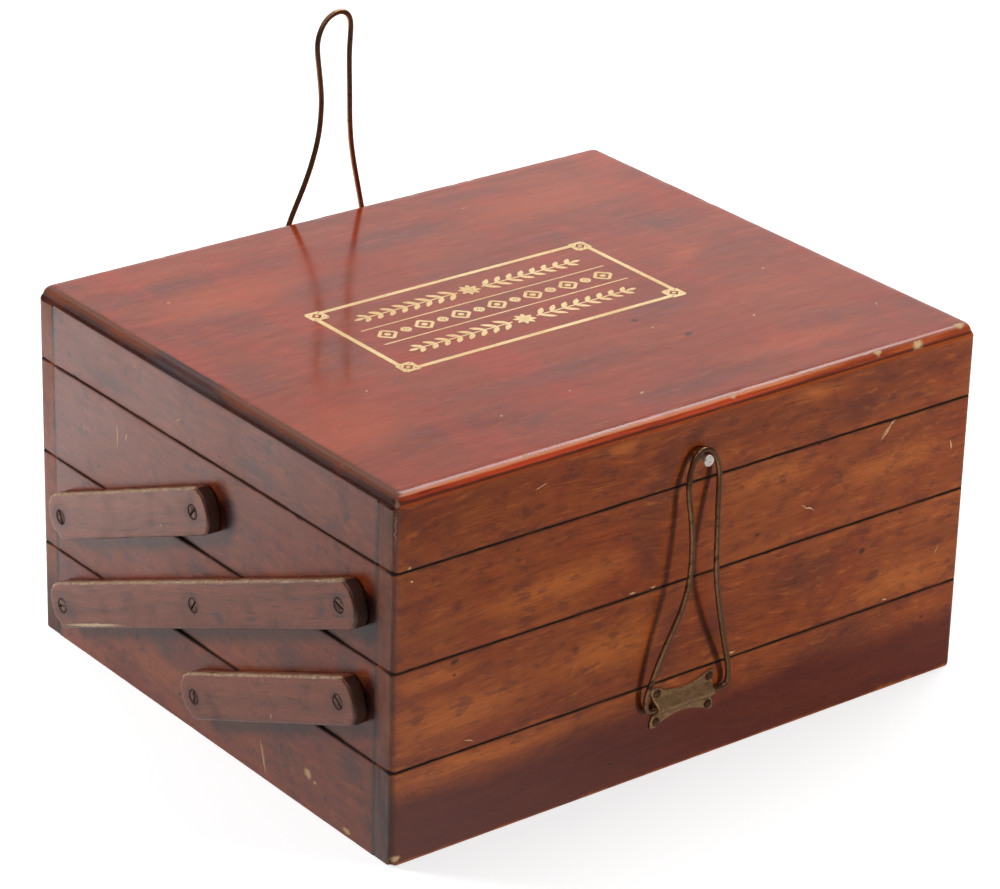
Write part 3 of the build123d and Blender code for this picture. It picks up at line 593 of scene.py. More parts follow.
arm_wood = make_arm_wood()
raw_wood = make_raw_wood()
brass = old_metal(
    "old_brass", (0.62, 0.38, 0.18), (0.285, 0.155, 0.078), (0.075, 0.036, 0.020), 0.42, 0.20, 0.35
)
hinge_brass = old_metal("hinge_brass", (0.58, 0.43, 0.20), (0.30, 0.20, 0.09), (0.06, 0.04, 0.02), 0.30, 0.06)
steel = old_metal(
    "screw_steel", (0.24, 0.145, 0.105), (0.125, 0.062, 0.044), (0.030, 0.016, 0.012), 0.42, 0.24
)
wire = old_metal("dark_wire", (0.30, 0.16, 0.085), (0.080, 0.038, 0.024), (0.024, 0.011, 0.008), 0.30, 0.10)
nickel = old_metal(
    "stud_nickel", (0.95, 0.86, 0.78), (0.80, 0.68, 0.60), (0.30, 0.22, 0.18), 0.28, -0.02, 0.0, (0.72, 0.5)
)
nail = old_metal("nail_heads", (0.20, 0.105, 0.060), (0.105, 0.048, 0.028), (0.035, 0.017, 0.011), 0.36, 0.2)
gilt = make_gilt()


def finish_of(node):
    if node == "lid_top":
        return top_wood
    if node.endswith(("_bottom", "_divider")):
        return raw_wood
    if "_arm_" in node:
        return arm_wood
    if node.endswith(("_pivot_screws", "hinge_screws")):
        return steel
    if node.endswith("_hoop"):
        return wire
    if node.endswith("_stud"):
        return nickel
    if "hinge" in node:
        return hinge_brass
    if "bracket" in node:
        return brass
    if node.endswith(("_left", "_right")):
        return wood_y
    return wood_x


for node_name, node_object in nodes.items():
    node_object.data.materials.clear()
    node_object.data.materials.append(finish_of(node_name))

# ---------------------------------------------------------------- pieces
CORNER = 2.6  # radius of the upright corners
FOOT_CORNER = 4.2  # radius of the case's lower corners, seen from the front
ARM_FACE, ARM_BACK = 159.0, 152.8
ARM_HALF, ARM_NOSE, ARM_TAIL = 10.25, 11.0, 9.5  # half its width, and how far it runs past its end pivots
HINGES_AT, HINGE_HALF = (-95.0, 95.0), 19.0
FLOOR_THICK, FLOOR_LAP = 4.0, 6.0  # a tray's floor, and how far it is let into its boards
WIRE_RADIUS = 1.2
MERGE_WITHIN = 4e-6  # metres
TRAY_BODY = {"base": "base", "middle": "middle_tray", "upper": "upper_tray", "lid": "lid"}


def ripple(x, y, z, size, seed=0.0):
    """Smooth noise from -1 to 1 whose lumps are about that many millimetres across."""
    return noise.noise(Vector((x / size + seed, y / size - 3 * seed, z / size + 7 * seed)))


def rounding(distance, radius):
    """How far a rounded edge has fallen away at that distance from the end."""
    if distance >= radius:
        return 0.0
    return radius - math.sqrt(radius**2 - (radius - distance) ** 2)


def finish_piece(name, work, mesh, finish, body, replaced, sharp):
    """Write the worked mesh back and let its piece ride on its body."""
    bmesh.ops.recalc_face_normals(work, faces=work.faces)
    for face in work.faces:
        face.smooth = True
    work.to_mesh(mesh)
    work.free()
    mesh.set_sharp_from_angle(angle=math.radians(sharp))
    mesh.materials.append(finish)
    piece = add_object(name, mesh)
    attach(piece, body)
    if replaced:
        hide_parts(*replaced)


def make_piece(name, points, faces, finish, body, replaced=(), sharp=32.0, layers=None, merge=True):
    """A closed mesh given in millimetres, ready to ride on its body."""
    mesh = bpy.data.meshes.new(name)
    mesh.from_pydata([Vector(p) * MM for p in points], [], faces)
    for layer, values in (layers or {}).items():
        mesh.attributes.new(layer, "FLOAT", "POINT").data.foreach_set("value", values)
    work = bmesh.new()
    work.from_mesh(mesh)
    if merge:
        bmesh.ops.remove_doubles(work, verts=work.verts, dist=MERGE_WITHIN)
    finish_piece(name, work, mesh, finish, body, replaced, sharp)


def circle(count):
    """Cosine and sine of even turns round a circle."""
    return [(math.cos(a), math.sin(a)) for a in (2 * math.pi * k / count for k in range(count))]


def side_faces(count, rings):
    """Faces round the sides of rings of equally many points."""
    faces = []
    for start in range(0, (rings - 1) * count, count):
        for i in range(count):
            j = (i + 1) % count
            faces.append((start + i, start + j, start + count + j, start + count + i))
    return faces


def loft(rings):
    """Points and faces that join rings of equally many points, with a cap on each end."""
    count, last = len(rings[0]), (len(rings) - 1) * len(rings[0])
    caps = [tuple(range(count))[::-1], tuple(range(last, last + count))]
    return [p for ring in rings for p in ring], side_faces(count, len(rings)) + caps


def joined(parts):
    """One list of points and one of faces from several lofts."""
    points, faces = [], []
    for more, sides in parts:
        faces += [tuple(i + len(points) for i in f) for f in sides]
        points += more
    return points, faces


def turned(x0, z0, profile, facing, count):
    """A profile of radius and height out from the case, turned about an axis along Y."""
    return loft([
        [(x0 + r * c, facing * (HALF_DEPTH + h), z0 + r * s) for c, s in circle(count)] for r, h in profile
    ])


def grid(columns, rows):
    """Faces of a grid of points laid row by row, and the run of points round its rim."""
    faces = [
        (j * columns + i, j * columns + i + 1, (j + 1) * columns + i + 1, (j + 1) * columns + i)
        for j in range(rows - 1)
        for i in range(columns - 1)
    ]
    rim = list(range(columns)) + [j * columns + columns - 1 for j in range(1, rows)]
    rim += [(rows - 1) * columns + i for i in range(columns - 2, -1, -1)]
    return faces, rim + [j * columns for j in range(rows - 2, 0, -1)]


# ---------------------------------------------------------------- wall boards
def steps(half, near_end, pitch):
    """Places along a board from -half to half, closer together near both ends."""
    inner = [half - d for d in near_end]
    count = max(2, round(2 * inner[-1] / pitch))
    middle = [inner[-1] * (2 * k / count - 1) for k in range(1, count)]
    return [-v for v in inner] + middle + inner[::-1]


# How far the left side's two middle seams stand open: from the front in mm, extra rounding in mm.
OPEN_SEAM = (
    (0, 0.1), (28, 0.2), (54, 1.7), (75, 1.9), (84, 0.2), (128, 0.2), (156, 1.7), (180, 1.8), (192, 0.0),
    (260, 0.0),
)


def open_seam(y):
    for (a, wide_a), (b, wide_b) in zip(OPEN_SEAM, OPEN_SEAM[1:]):
        if y <= b:
            return wide_a + (wide_b - wide_a) * (y - a) / (b - a)
    return 0.0


def wall_board(tray, side, bottom, top, finish, seed):
    """One board whose edges are worn by different amounts along its length."""
    along_x = side in ("front", "rear")
    sign = -1 if side in ("front", "left") else 1
    half = HALF_WIDTH if along_x else INSIDE_Y
    lip = INSIDE_Y if along_x else INSIDE_X
    meets_above, meets_below = tray != "lid", tray != "base"
    has_floor = tray != "lid"
    recess = None
    if side == "rear" and tray in ("upper", "lid"):
        recess = "top" if tray == "upper" else "bottom"
    ends = (0.0, 0.05, 0.2, 0.5, 1.0, 1.6, 2.3, 3.1, 4.2) if along_x else (0.0, 2.0)
    places = [(s, False) for s in steps(half, ends, 3.0)]
    floor_reach = half - FLOOR_LAP if along_x else half + 1.0
    if has_floor and along_x:
        for edge in (-floor_reach, floor_reach):
            places += [(edge - 0.01, False), (edge + 0.01, False)]
        places.sort()
    if recess:
        for middle in HINGES_AT:
            for edge in (middle - HINGE_HALF, middle + HINGE_HALF):
                places += [(edge - 0.01, False), (edge + 0.01, False)]
        places = sorted((s, any(abs(s - m) < HINGE_HALF for m in HINGES_AT)) for s, _ in places)
    rings, wear, dirt_and_shade = [], [], []
    for s, cut in places:
        end = half - abs(s)
        face = BOARD - (rounding(end, CORNER) if along_x else 0.0)
        lift = rounding(end, 1.1) if along_x else 0.0
        low, high = bottom + lift, top - lift
        worn = {}
        for key, z, meets in (("low", bottom, meets_below), ("high", top, meets_above)):
            size = 0.66 + 0.20 * ripple(s, z, seed, 22, 1.3) + 0.15 * ripple(s, z, seed, 6, 4.1)
            chip = ripple(s, 3 * z, seed, 5.0, 9.2)
            if chip > 0.42 and end > 6:
                size += 1.6 * (chip - 0.42)
            if side == "left" and z in SEAMS[:2]:
                size += open_seam(s + HALF_DEPTH) * (1.0 if key == "low" else 0.35)
            worn[key] = max(0.38, size) if meets else 0.6 + 0.25 * abs(ripple(s, z, seed, 12))
        if not meets_above:
            worn["high"] = 0.12
        r_low, r_high = worn["low"], worn["high"]
        sunk = 1.0 if cut and recess == "top" else 0.0
        raised = 1.0 if cut and recess == "bottom" else 0.0
        if sunk:
            r_high = 0.05
        if raised:
            r_low = 0.05
        ring, rub, dust = [], [], []

        def put(u, z, rubbed=0.0, dust_and_shade=0.0):
            if along_x and tray == "base" and z < FOOT_CORNER:
                foot = rounding(math.hypot(end, BOARD - u), FOOT_CORNER)
                z = max(z, min(FOOT_CORNER, bottom + foot) + 0.02 * z)
            ring.append((s, sign * (lip + u), z) if along_x else (sign * (lip + u), s, z))
            rub.append(rubbed)
            dust.append(dust_and_shade)

        rebated = has_floor and abs(s) < floor_reach
        floor_u = FLOOR_LAP if rebated else 1.0
        put(floor_u, low)
        put(floor_u + 0.01, low + raised)
        # the last number darkens the face where boards meet and the lower rounded edge: dirt and painted
        # shade in the seam
        put(face - r_low - 1.0, low + raised, 0, 1)
        for k in range(6):
            turn = math.radians(18 * k)
            put(
                face - r_low + r_low * math.sin(turn),
                low + raised + r_low - r_low * math.cos(turn),
                (0.75 if meets_below else 1.0) if k > 1 else 0,
                (1.0, 1.0, 1.0, 1.0, 0.95, 0.55)[k] if meets_below else 0,
            )
        z0, z1 = low + raised + r_low, high - sunk - r_high
        for k, share in enumerate((0.02, 0.08, 0.25, 0.5, 0.75, 0.92, 0.98)):
            put(face, z0 + (z1 - z0) * share, 0.5 if k in (0, 6) else 0.12 if k in (1, 5) else 0)
        # the last number darkens the upper rounded edge and the face where boards meet: dirt and painted
        # shade in the seam
        for k in range(6):
            turn = math.radians(18 * (5 - k))
            put(
                face - r_high + r_high * math.sin(turn),
                high - sunk - r_high + r_high * math.cos(turn),
                0.75 if k < 4 else 0,
                (0.55, 0.95, 1.0, 1.0, 1.0, 1.0)[k] if meets_above else 0,
            )
        put(face - r_high - 1.0, high - sunk, 0, 1)
        put(1.01, high - sunk)
        put(1.0, high)
        put(0.5, high)
        put(0.15, high - 0.15)
        put(0.0, high - 0.5)
        put(0.0, (bottom + top) / 2)
        if rebated:
            put(0.0, bottom + FLOOR_THICK)
            put(FLOOR_LAP, bottom + FLOOR_THICK)
        else:
            put(0.0, low + 0.5)
            put(0.15, low + 0.15)
        rings.append(ring)
        wear += rub if end > 0.05 else [0.0] * len(rub)
        dirt_and_shade += dust if end > 0.05 else [0.0] * len(dust)
    points, faces = loft(rings)
    make_piece(
        f"board_{tray}_{side}", points, faces, finish, TRAY_BODY[tray],
        (f"{tray}_{side}",), 32.0, {"wear": wear, "dirt_and_shade": dirt_and_shade, "plank": [seed] * len(wear)},
    )


TRAY_SPANS = {"base": (0.0, 42.5), "middle": (42.5, 86.5), "upper": (86.5, 130.0), "lid": (130.0, 157.5)}
for number, (tray, (low_z, high_z)) in enumerate(TRAY_SPANS.items()):
    for turn, side in enumerate(("front", "rear", "left", "right")):
        grain = wood_x if side in ("front", "rear") else wood_y
        wall_board(tray, side, low_z, high_z, grain, 13.7 * number + 3.1 * turn)


# ---------------------------------------------------------------- lid top
EDGE_IN = 3.0  # how far the round of the moulded edge runs in
# The moulded edge from the joint up: how far in from the side, how far up. A fine groove runs round it.
EDGE = [(0.0, 0.0), (0.2, 0.6), (0.55, 1.5), (0.92, 1.74), (0.96, 1.9), (0.84, 2.15)]
for quarter in range(10):
    t = math.radians(10 * quarter)
    EDGE.append((0.9 + EDGE_IN * (1 - math.cos(t)), 2.3 + 3.2 * math.sin(t)))
EDGE += [(4.9, 5.5), (6.6, 5.5)]


def edge_steps(half):
    """Places across the lid with the number of the moulding's ring each lies on."""
    near = [(inset - half, ring) for ring, (inset, _) in enumerate(EDGE)]
    count = round(-2 * near[-1][0] / 3.0)
    inner = [(near[-1][0] * (1 - 2 * k / count), len(EDGE) - 1) for k in range(1, count)]
    return near + inner + [(-place, ring) for place, ring in near[::-1]]


def make_lid_top():
    xs, ys = edge_steps(HALF_WIDTH), edge_steps(HALF_DEPTH)
    points, wear = [], []
    for y, ring_y in ys:
        for x, ring_x in xs:
            dx, dy = HALF_WIDTH - abs(x), HALF_DEPTH - abs(y)
            near_side = min(dx, dy)
            px, py = x, y
            z = EDGE[min(ring_x, ring_y)][1]
            corner = 2.6 + 2.6 * z / 5.5
            if max(dx, dy) < corner:  # bend the grid's square corner round
                ox, oy = corner - dx, corner - dy
                pull = max(ox, oy) / math.hypot(ox, oy)
                px = math.copysign(HALF_WIDTH - corner + ox * pull, x)
                py = math.copysign(HALF_DEPTH - corner + oy * pull, y)
            rub = 0.0
            if near_side < EDGE_IN + 1.7:
                rub = 0.5 + 0.5 * math.sin(math.pi * min(1, near_side / 2.4))
                rub *= 0.6 if y > 0 or abs(dx) < dy else 1.0
                dent = ripple(x, y, 0, 4.0, 2.2)
                if dent > 0.35:
                    z -= 0.9 * (dent - 0.35) * min(1, near_side / 1.2)
                z -= 0.10 * (1 + ripple(x, y, 0, 14, 6.0)) * math.sin(math.pi * min(1, near_side / 4.4))
            mitre = abs(dx - dy)
            if mitre < 1.2 and near_side < EDGE_IN + 1.0:
                rub = 1.0
            points.append((px, py, LID_JOINT + max(0.0, z)))
            wear.append(rub)
    faces, rim = grid(len(xs), len(ys))
    faces.append(tuple(rim[::-1]))
    make_piece(
        "board_lid_top", points, faces, top_wood, "lid", ("lid_top",), 42.0,
        {"wear": wear},
    )


make_lid_top()


# ---------------------------------------------------------------- link arms
def arm_outline(reach, seed):
    """The arm seen flat: along from its lower pivot and up, with rounded ends."""
    half, nose, tail, rise = ARM_HALF, reach + ARM_NOSE, ARM_TAIL, 3.2
    # corner, radius of its rounding
    corners = [
        (nose - rise, half, 1.6), (nose - rise, -half, 1.6),
        (rise - tail, -half, 3.6), (rise - tail, half, 2.8),
    ]
    radius = (half**2 + rise**2) / (2 * rise)
    outline = []
    for k in range(1, 12):  # shallow arc of the nose
        a = math.asin(half / radius) * (1 - k / 6)
        outline.append((nose - radius + radius * math.cos(a), radius * math.sin(a)))
    steps_along = max(4, round((nose - 2 * rise + tail) / 4))
    low = [(nose - rise - (nose - 2 * rise + tail) * k / steps_along, -half) for k in range(steps_along + 1)]
    outline += low
    for k in range(1, 12):
        a = math.asin(half / radius) * (k / 6 - 1)
        outline.append((-tail + radius - radius * math.cos(a), radius * math.sin(a)))
    outline += [(p[0], half) for p in low[::-1]]
    # round the four corners by drawing each point towards its neighbours
    for x, y, size in corners:
        centre_x = x - math.copysign(size, x - reach / 2)
        centre_y = y - math.copysign(size, y)
        moved = []
        for px, py in outline:
            ox, oy = px - centre_x, py - centre_y
            outer = ox * (x - centre_x) > 0 and oy * (y - centre_y) > 0
            if outer and math.hypot(ox, oy) > size:
                scale = size / math.hypot(ox, oy)
                px, py = centre_x + ox * scale, centre_y + oy * scale
            moved.append((px, py))
        outline = moved
    return [
        (px, py - math.copysign(0.25 * max(0, ripple(px, py, seed, 9, 2.0)), py)) for px, py in outline
    ]


def skin(work, rings):
    """Add quads round the sides of rings of equally many vertices."""
    for a, b in zip(rings, rings[1:]):
        for i in range(len(a)):
            j = (i + 1) % len(a)
            work.faces.new((a[i], a[j], b[j], b[i]))


def make_arm(name, sign, stops, seed):
    start_y, start_z = stops[0]
    reach = (len(stops) - 1) * ARM_PITCH
    outline = arm_outline(reach, seed)

    def world(along, up, x):
        return (
            sign * x,
            start_y - along * math.cos(ARM_SLOPE) + up * math.sin(ARM_SLOPE),
            start_z + along * math.sin(ARM_SLOPE) + up * math.cos(ARM_SLOPE),
        )

    work = bmesh.new()
    rub = work.verts.layers.float.new("wear")
    dirt_and_shade_layer = work.verts.layers.float.new("dirt_and_shade")
    plank = work.verts.layers.float.new("plank")
    half, tail, nose = ARM_HALF, ARM_TAIL, reach + ARM_NOSE

    def outline_ring(inset, x, rubbed, dust=0.0):
        made = []
        for along, up in outline:
            scale_up = (half - inset) / half
            middle = (nose - tail) / 2
            scale_along = ((nose + tail) / 2 - inset) / ((nose + tail) / 2)
            v = work.verts.new(
                Vector(world(middle + (along - middle) * scale_along, up * scale_up, x)) * MM
            )
            share = 0.55 if along > nose - 5 else 0.3 if along < 1 - tail or up < 0 else 1.0
            v[rub], v[dirt_and_shade_layer], v[plank] = rubbed * share, dust, seed
            made.append(v)
        return made

    rings = [
        outline_ring(0.35, ARM_BACK, 0, 0.8), outline_ring(0.0, ARM_BACK + 0.35, 0, 0.5),
        outline_ring(0.0, ARM_BACK + 2.2, 0.6), outline_ring(0.0, ARM_FACE - 1.15, 1.0),
    ]
    for k in range(1, 5):
        turn = math.radians(22.5 * k)
        inset, x = 1.05 * (1 - math.cos(turn)), ARM_FACE - 1.05 + 1.05 * math.sin(turn)
        rings.append(outline_ring(inset, x, 1.0 if k < 4 else 0.7))
    rings.append(outline_ring(1.9, ARM_FACE, 0.1))
    skin(work, rings)
    work.faces.new(rings[0][::-1])
    # the outer face, with a sunk hole for each screw
    loops = [rings[-1]]
    for stop in range(len(stops)):
        along = stop * ARM_PITCH
        sink = []
        # the countersinks are darkened: dirt and painted shade in the recess
        for radius, depth, dust in ((3.5, 0.0, 0.15), (3.15, 0.4, 0.85), (1.9, 1.5, 1.0)):
            ring = []
            for c, s in circle(28):
                v = work.verts.new(Vector(world(along + radius * c, radius * s, ARM_FACE - depth)) * MM)
                v[rub], v[dirt_and_shade_layer], v[plank] = 0.0, dust, seed
                ring.append(v)
            sink.append(ring)
        skin(work, sink)
        work.faces.new(sink[-1])
        loops.append(sink[0])
    edges = []
    for loop in loops:
        for i, v in enumerate(loop):
            w = loop[(i + 1) % len(loop)]
            edges.append(work.edges.get((v, w)) or work.edges.new((v, w)))
    bmesh.ops.triangle_fill(work, use_beauty=True, use_dissolve=False, edges=edges)
    mesh = bpy.data.meshes.new(f"{name}_wood")
    finish_piece(f"{name}_wood", work, mesh, arm_wood, name, (name,), 32)


base_stops, middle_stops, upper_stops = PIVOTS.values()
for side, sign in (("left", -1), ("right", 1)):
    make_arm(f"long_arm_{side}", sign, (base_stops[0], middle_stops[1], upper_stops[1]), 2.0 + sign)
    make_arm(f"lower_arm_{side}", sign, (base_stops[1], middle_stops[2]), 5.0 + sign)
    make_arm(f"upper_arm_{side}", sign, (middle_stops[0], upper_stops[0]), 8.0 + sign)


# ---------------------------------------------------------------- screws
def screw(place, turn, sign):
    """A slotted head, slightly domed and sunk, as two half discs over a slot floor."""
    y0, z0 = place

    def world(a, b, height):
        c, s = math.cos(turn), math.sin(turn)
        return (sign * (ARM_FACE + height), y0 + a * c - b * s, z0 + a * s + b * c)

    radius, slot_half = 3.0, 0.42
    parts = []
    for half_disc in (-1, 1):
        rings = []
        for inset, height in ((0.0, -1.2), (0.0, -0.42), (0.12, -0.27), (0.32, -0.2), (1.2, -0.14)):
            r = radius - inset
            start = math.asin((slot_half + inset * 0.5) / r)
            arc = [start + (math.pi - 2 * start) * k / 14 for k in range(15)]
            rings.append([world(r * math.cos(t), half_disc * r * math.sin(t), height) for t in arc])
        parts.append(loft(rings))
    inner = radius - 0.1
    floor = [[world(inner * c, inner * s, height) for c, s in circle(24)] for height in (-1.3, -1.0)]
    return joined(parts + [loft(floor)])


SLOT_TURNS = {
    ("base", 0): -25, ("base", 1): 88, ("middle", 0): 62, ("middle", 1): -58, ("middle", 2): 35,
    ("upper", 0): -50, ("upper", 1): 15,
}
for tray, places in PIVOTS.items():
    points, faces = joined(
        screw(place, math.radians(SLOT_TURNS[tray, number] + (0 if sign < 0 else 47)), sign)
        for sign in (-1, 1)
        for number, place in enumerate(places)
    )
    replaced = (f"{tray}_pivot_screws",)
    make_piece(f"screws_{tray}", points, faces, steel, TRAY_BODY[tray], replaced, 40.0)


# ---------------------------------------------------------------- wire hoops
def smooth_line(controls, per_span=9):
    """A uniform cubic B-spline through the run of control points."""
    pts = [Vector(p) for p in controls]
    pts = [2 * pts[0] - pts[1]] + pts + [2 * pts[-1] - pts[-2]]
    line = []
    for k in range(len(pts) - 3):
        for step in range(per_span):
            t = step / per_span
            w = (
                (1 - t) ** 3 / 6, (3 * t**3 - 6 * t**2 + 4) / 6,
                (-3 * t**3 + 3 * t**2 + 3 * t + 1) / 6, t**3 / 6,
            )
            line.append(sum((pts[k + n] * w[n] for n in range(4)), Vector()))
    line.append(Vector(controls[-1]))
    return line


def make_wire(end, controls):
    line = smooth_line(controls)
    rings = []
    side = None
    for k, p in enumerate(line):
        ahead = (line[min(k + 1, len(line) - 1)] - line[max(k - 1, 0)]).normalized()
        if side is None:
            side = ahead.orthogonal().normalized()
        side = (side - ahead * side.dot(ahead)).normalized()
        other = ahead.cross(side)
        size = WIRE_RADIUS * (1 + 0.012 * ripple(p.x, p.y, p.z, 6.0, 5.0))
        rings.append([p + size * (side * c + other * s) for c, s in circle(14)])
    points, faces = loft(rings)
    hoop = f"{end}_hoop"
    make_piece(f"wire_{end}", points, faces, wire, hoop, (hoop,), 60.0)


FRONT_WIRE = (  # from the wire's end on the right, over the loop, to the one on the left
    (9.5, -131.0, 31.25), (12.5, -131.0, 31.25), (15.8, -131.0, 31.2), (18.6, -131.2, 31.6),
    (20.0, -131.5, 34.5), (19.2, -132.0, 39.5), (17.4, -132.8, 46.0), (14.6, -133.8, 53.5),
    (11.1, -135.3, 64.4), (7.7, -136.6, 76.2), (5.5, -136.9, 88.0), (5.3, -136.6, 98.0), (5.9, -135.8, 107.5),
    (6.6, -134.6, 116.6), (7.6, -133.4, 125.0), (8.5, -132.3, 132.6), (7.9, -131.8, 137.3),
    (5.9, -131.6, 141.6), (2.9, -131.6, 144.3), (-0.4, -131.6, 145.0), (-2.9, -131.6, 143.8),
    (-4.9, -131.6, 141.0), (-6.6, -131.8, 136.8), (-8.0, -132.5, 132.0), (-8.3, -133.4, 126.0),
    (-7.7, -134.2, 120.0), (-7.3, -135.5, 110.7), (-7.7, -136.4, 101.3), (-8.5, -136.9, 91.7),
    (-10.4, -136.6, 81.5), (-14.2, -135.8, 71.8), (-18.1, -134.6, 62.1), (-21.3, -133.4, 52.2),
    (-23.6, -132.4, 44.0), (-25.0, -131.7, 38.0), (-24.4, -131.2, 32.6), (-22.2, -131.0, 31.0),
    (-19.5, -131.0, 31.25), (-16.5, -131.0, 31.25),
)
REAR_WIRE = (
    (11.5, 131.0, 141.0), (14.5, 131.0, 141.0), (17.6, 131.0, 140.9), (20.4, 130.9, 141.6),
    (21.7, 130.8, 145.0), (21.2, 130.6, 149.6), (19.9, 130.4, 156.0), (18.6, 130.3, 161.1),
    (16.3, 130.0, 171.7), (13.7, 129.8, 183.0), (11.7, 129.5, 194.0), (11.0, 129.5, 204.0),
    (11.2, 129.9, 212.0), (11.6, 130.7, 221.0), (11.9, 131.6, 230.0), (12.5, 132.3, 238.0),
    (13.5, 132.8, 244.5), (13.7, 133.1, 249.3), (12.0, 133.3, 253.1), (8.2, 133.4, 254.55),
    (4.6, 133.4, 253.9), (1.2, 133.4, 252.3), (-1.9, 133.3, 248.8), (-4.1, 133.0, 244.2),
    (-4.9, 132.5, 239.0), (-4.5, 131.8, 232.0), (-4.0, 131.1, 224.5), (-3.7, 130.5, 217.0),
    (-4.3, 130.0, 209.5), (-5.6, 129.5, 201.5), (-7.6, 129.4, 193.5), (-11.0, 129.6, 183.5),
    (-15.4, 129.9, 173.5), (-19.4, 130.2, 165.6), (-22.6, 130.4, 157.5), (-24.0, 130.7, 150.0),
    (-23.6, 130.9, 144.0), (-21.2, 131.0, 141.0), (-18.0, 131.0, 141.0), (-14.5, 131.0, 141.0),
)
make_wire("front", FRONT_WIRE)
make_wire("rear", REAR_WIRE)


# ---------------------------------------------------------------- brackets, nails, studs
def bracket_height_at(b):
    """Front of the bracket out from the case: a plate with one broad pressed ridge."""
    share = min(1.0, abs(b) / 4.3)
    return 0.95 + 3.4 * (0.5 + 0.5 * math.cos(math.pi * share)) ** 0.75


def make_bracket(end, facing, middle, z0, body):
    columns, rows = 44, 40
    front, back, wear = [], [], []
    for j in range(rows + 1):
        t = 2 * j / rows - 1
        for i in range(columns + 1):
            s = 2 * i / columns - 1
            hollow = 3.7 * max(0.0, 1 - (17 * s / 14.2) ** 2)
            b = t * (9.2 - hollow)
            a = 16.9 * s - math.copysign(1.7 * abs(s) ** 5 * max(0.0, 1 - (b / 6.4) ** 2), s)
            edge = min((1 - abs(s)) * 17, (1 - abs(t)) * 9)
            h = bracket_height_at(b) + 0.09 * ripple(a, b, facing, 5, 3.0)
            h -= 0.35 * max(0.0, 1 - edge / 0.6)
            h += 0.25 * max(0.0, 1 - (14 - abs(a)) ** 2 / 5) * max(0.0, (abs(b) - 4.5) / 4.5)
            front.append((middle + a, facing * (HALF_DEPTH + h), z0 + b))
            back.append((middle + a, facing * (HALF_DEPTH + 0.02), z0 + b))
            wear.append(max(0.0, 1 - edge / 1.2))
    quads, rim = grid(columns + 1, rows + 1)
    total = len(front)
    faces = []
    for quad in quads:
        faces += [quad, tuple(total + v for v in quad[::-1])]
    for k, v in enumerate(rim):
        w = rim[(k + 1) % len(rim)]
        faces.append((v, total + v, total + w, w))
    make_piece(
        f"bracket_{end}", front + back, faces, brass, body, (f"{end}_bracket",), 50.0,
        {"wear": wear + wear},
    )
    points, faces = joined(
        turned(middle + a, z0 + b, NAIL, facing, 18) for a in (-14.0, 14.0) for b in (-6.65, 6.65)
    )
    make_piece(f"nails_{end}", points, faces, nail, body, (f"{end}_bracket_nails",), 50.0)


# Profiles of a nail's head and of a stud: radius and height out from the case.
NAIL = ((1.2, 0.3), (1.9, 0.9), (1.95, 1.25), (1.7, 1.55), (1.2, 1.8), (0.6, 1.92), (0.1, 1.95))
make_bracket("front", -1, -3.5, 31.25, "base")
make_bracket("rear", 1, -1.5, 141.0, "lid")
STUD = (
    (0.6, -1.0), (1.3, -1.0), (1.3, 3.88), (2.35, 3.9), (2.5, 4.05), (2.5, 4.75), (2.4, 5.05), (2.1, 5.28),
    (1.6, 5.38), (1.05, 5.36), (0.8, 5.22), (0.6, 4.95), (0.25, 4.85), (0.05, 4.84),
)
rear_stud_x = (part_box("rear_stud")[0].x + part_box("rear_stud")[1].x) / 2 / MM
for end, x0, z0, facing, body in (("front", 1.1, 140.2, -1, "lid"), ("rear", rear_stud_x, 32.7, 1, "base")):
    points, faces = turned(x0, z0, STUD, facing, 32)
    make_piece(f"stud_{end}", points, faces, nickel, body, (f"{end}_stud",), 40.0)


# ---------------------------------------------------------------- gilt panel on the lid
GILT_LOW, GILT_HIGH = 162.97, 163.05
PANEL_X, PANEL_Y = (-76.5, 69.5), (-33.0, 36.0)
gilt_points, gilt_faces = [], []


def gilt_ribbon(line, widths):
    """A flat painted stroke of changing width along a run of points."""
    start = len(gilt_points)
    top = GILT_HIGH + 1e-6 * start
    count = len(line)
    for k, (x, y) in enumerate(line):
        ax, ay = line[max(k - 1, 0)]
        bx, by = line[min(k + 1, count - 1)]
        length = math.hypot(bx - ax, by - ay) or 1.0
        nx, ny = -(by - ay) / length, (bx - ax) / length
        half = widths[k] / 2 if isinstance(widths, (list, tuple)) else widths / 2
        half *= 1 + 0.1 * ripple(x, y, 0, 2.2, 8.0)
        for side, z in ((1, top), (-1, top), (-1, GILT_LOW), (1, GILT_LOW)):
            gilt_points.append((x + side * nx * half, y + side * ny * half, z))
    gilt_faces.extend(tuple(start + n for n in side) for side in side_faces(4, count))
    gilt_faces.append(tuple(start + n for n in range(4)))
    last = start + 4 * (count - 1)
    gilt_faces.append(tuple(last + n for n in (3, 2, 1, 0)))


def gilt_disc(x, y, radius, count=20):
    start = len(gilt_points)
    for z in (GILT_HIGH + 1e-6 * start, GILT_LOW):
        gilt_points.extend((x + radius * c, y + radius * s, z) for c, s in circle(count))
    gilt_faces.append(tuple(range(start, start + count)))
    gilt_faces.append(tuple(range(start + 2 * count - 1, start + count - 1, -1)))
    for k in range(count):
        j = (k + 1) % count
        gilt_faces.append((start + k, start + count + k, start + count + j, start + j))


def straight(x0, y0, x1, y1, pitch=2.0):
    count = max(2, round(math.hypot(x1 - x0, y1 - y0) / pitch))
    return [(x0 + (x1 - x0) * k / count, y0 + (y1 - y0) * k / count) for k in range(count + 1)]


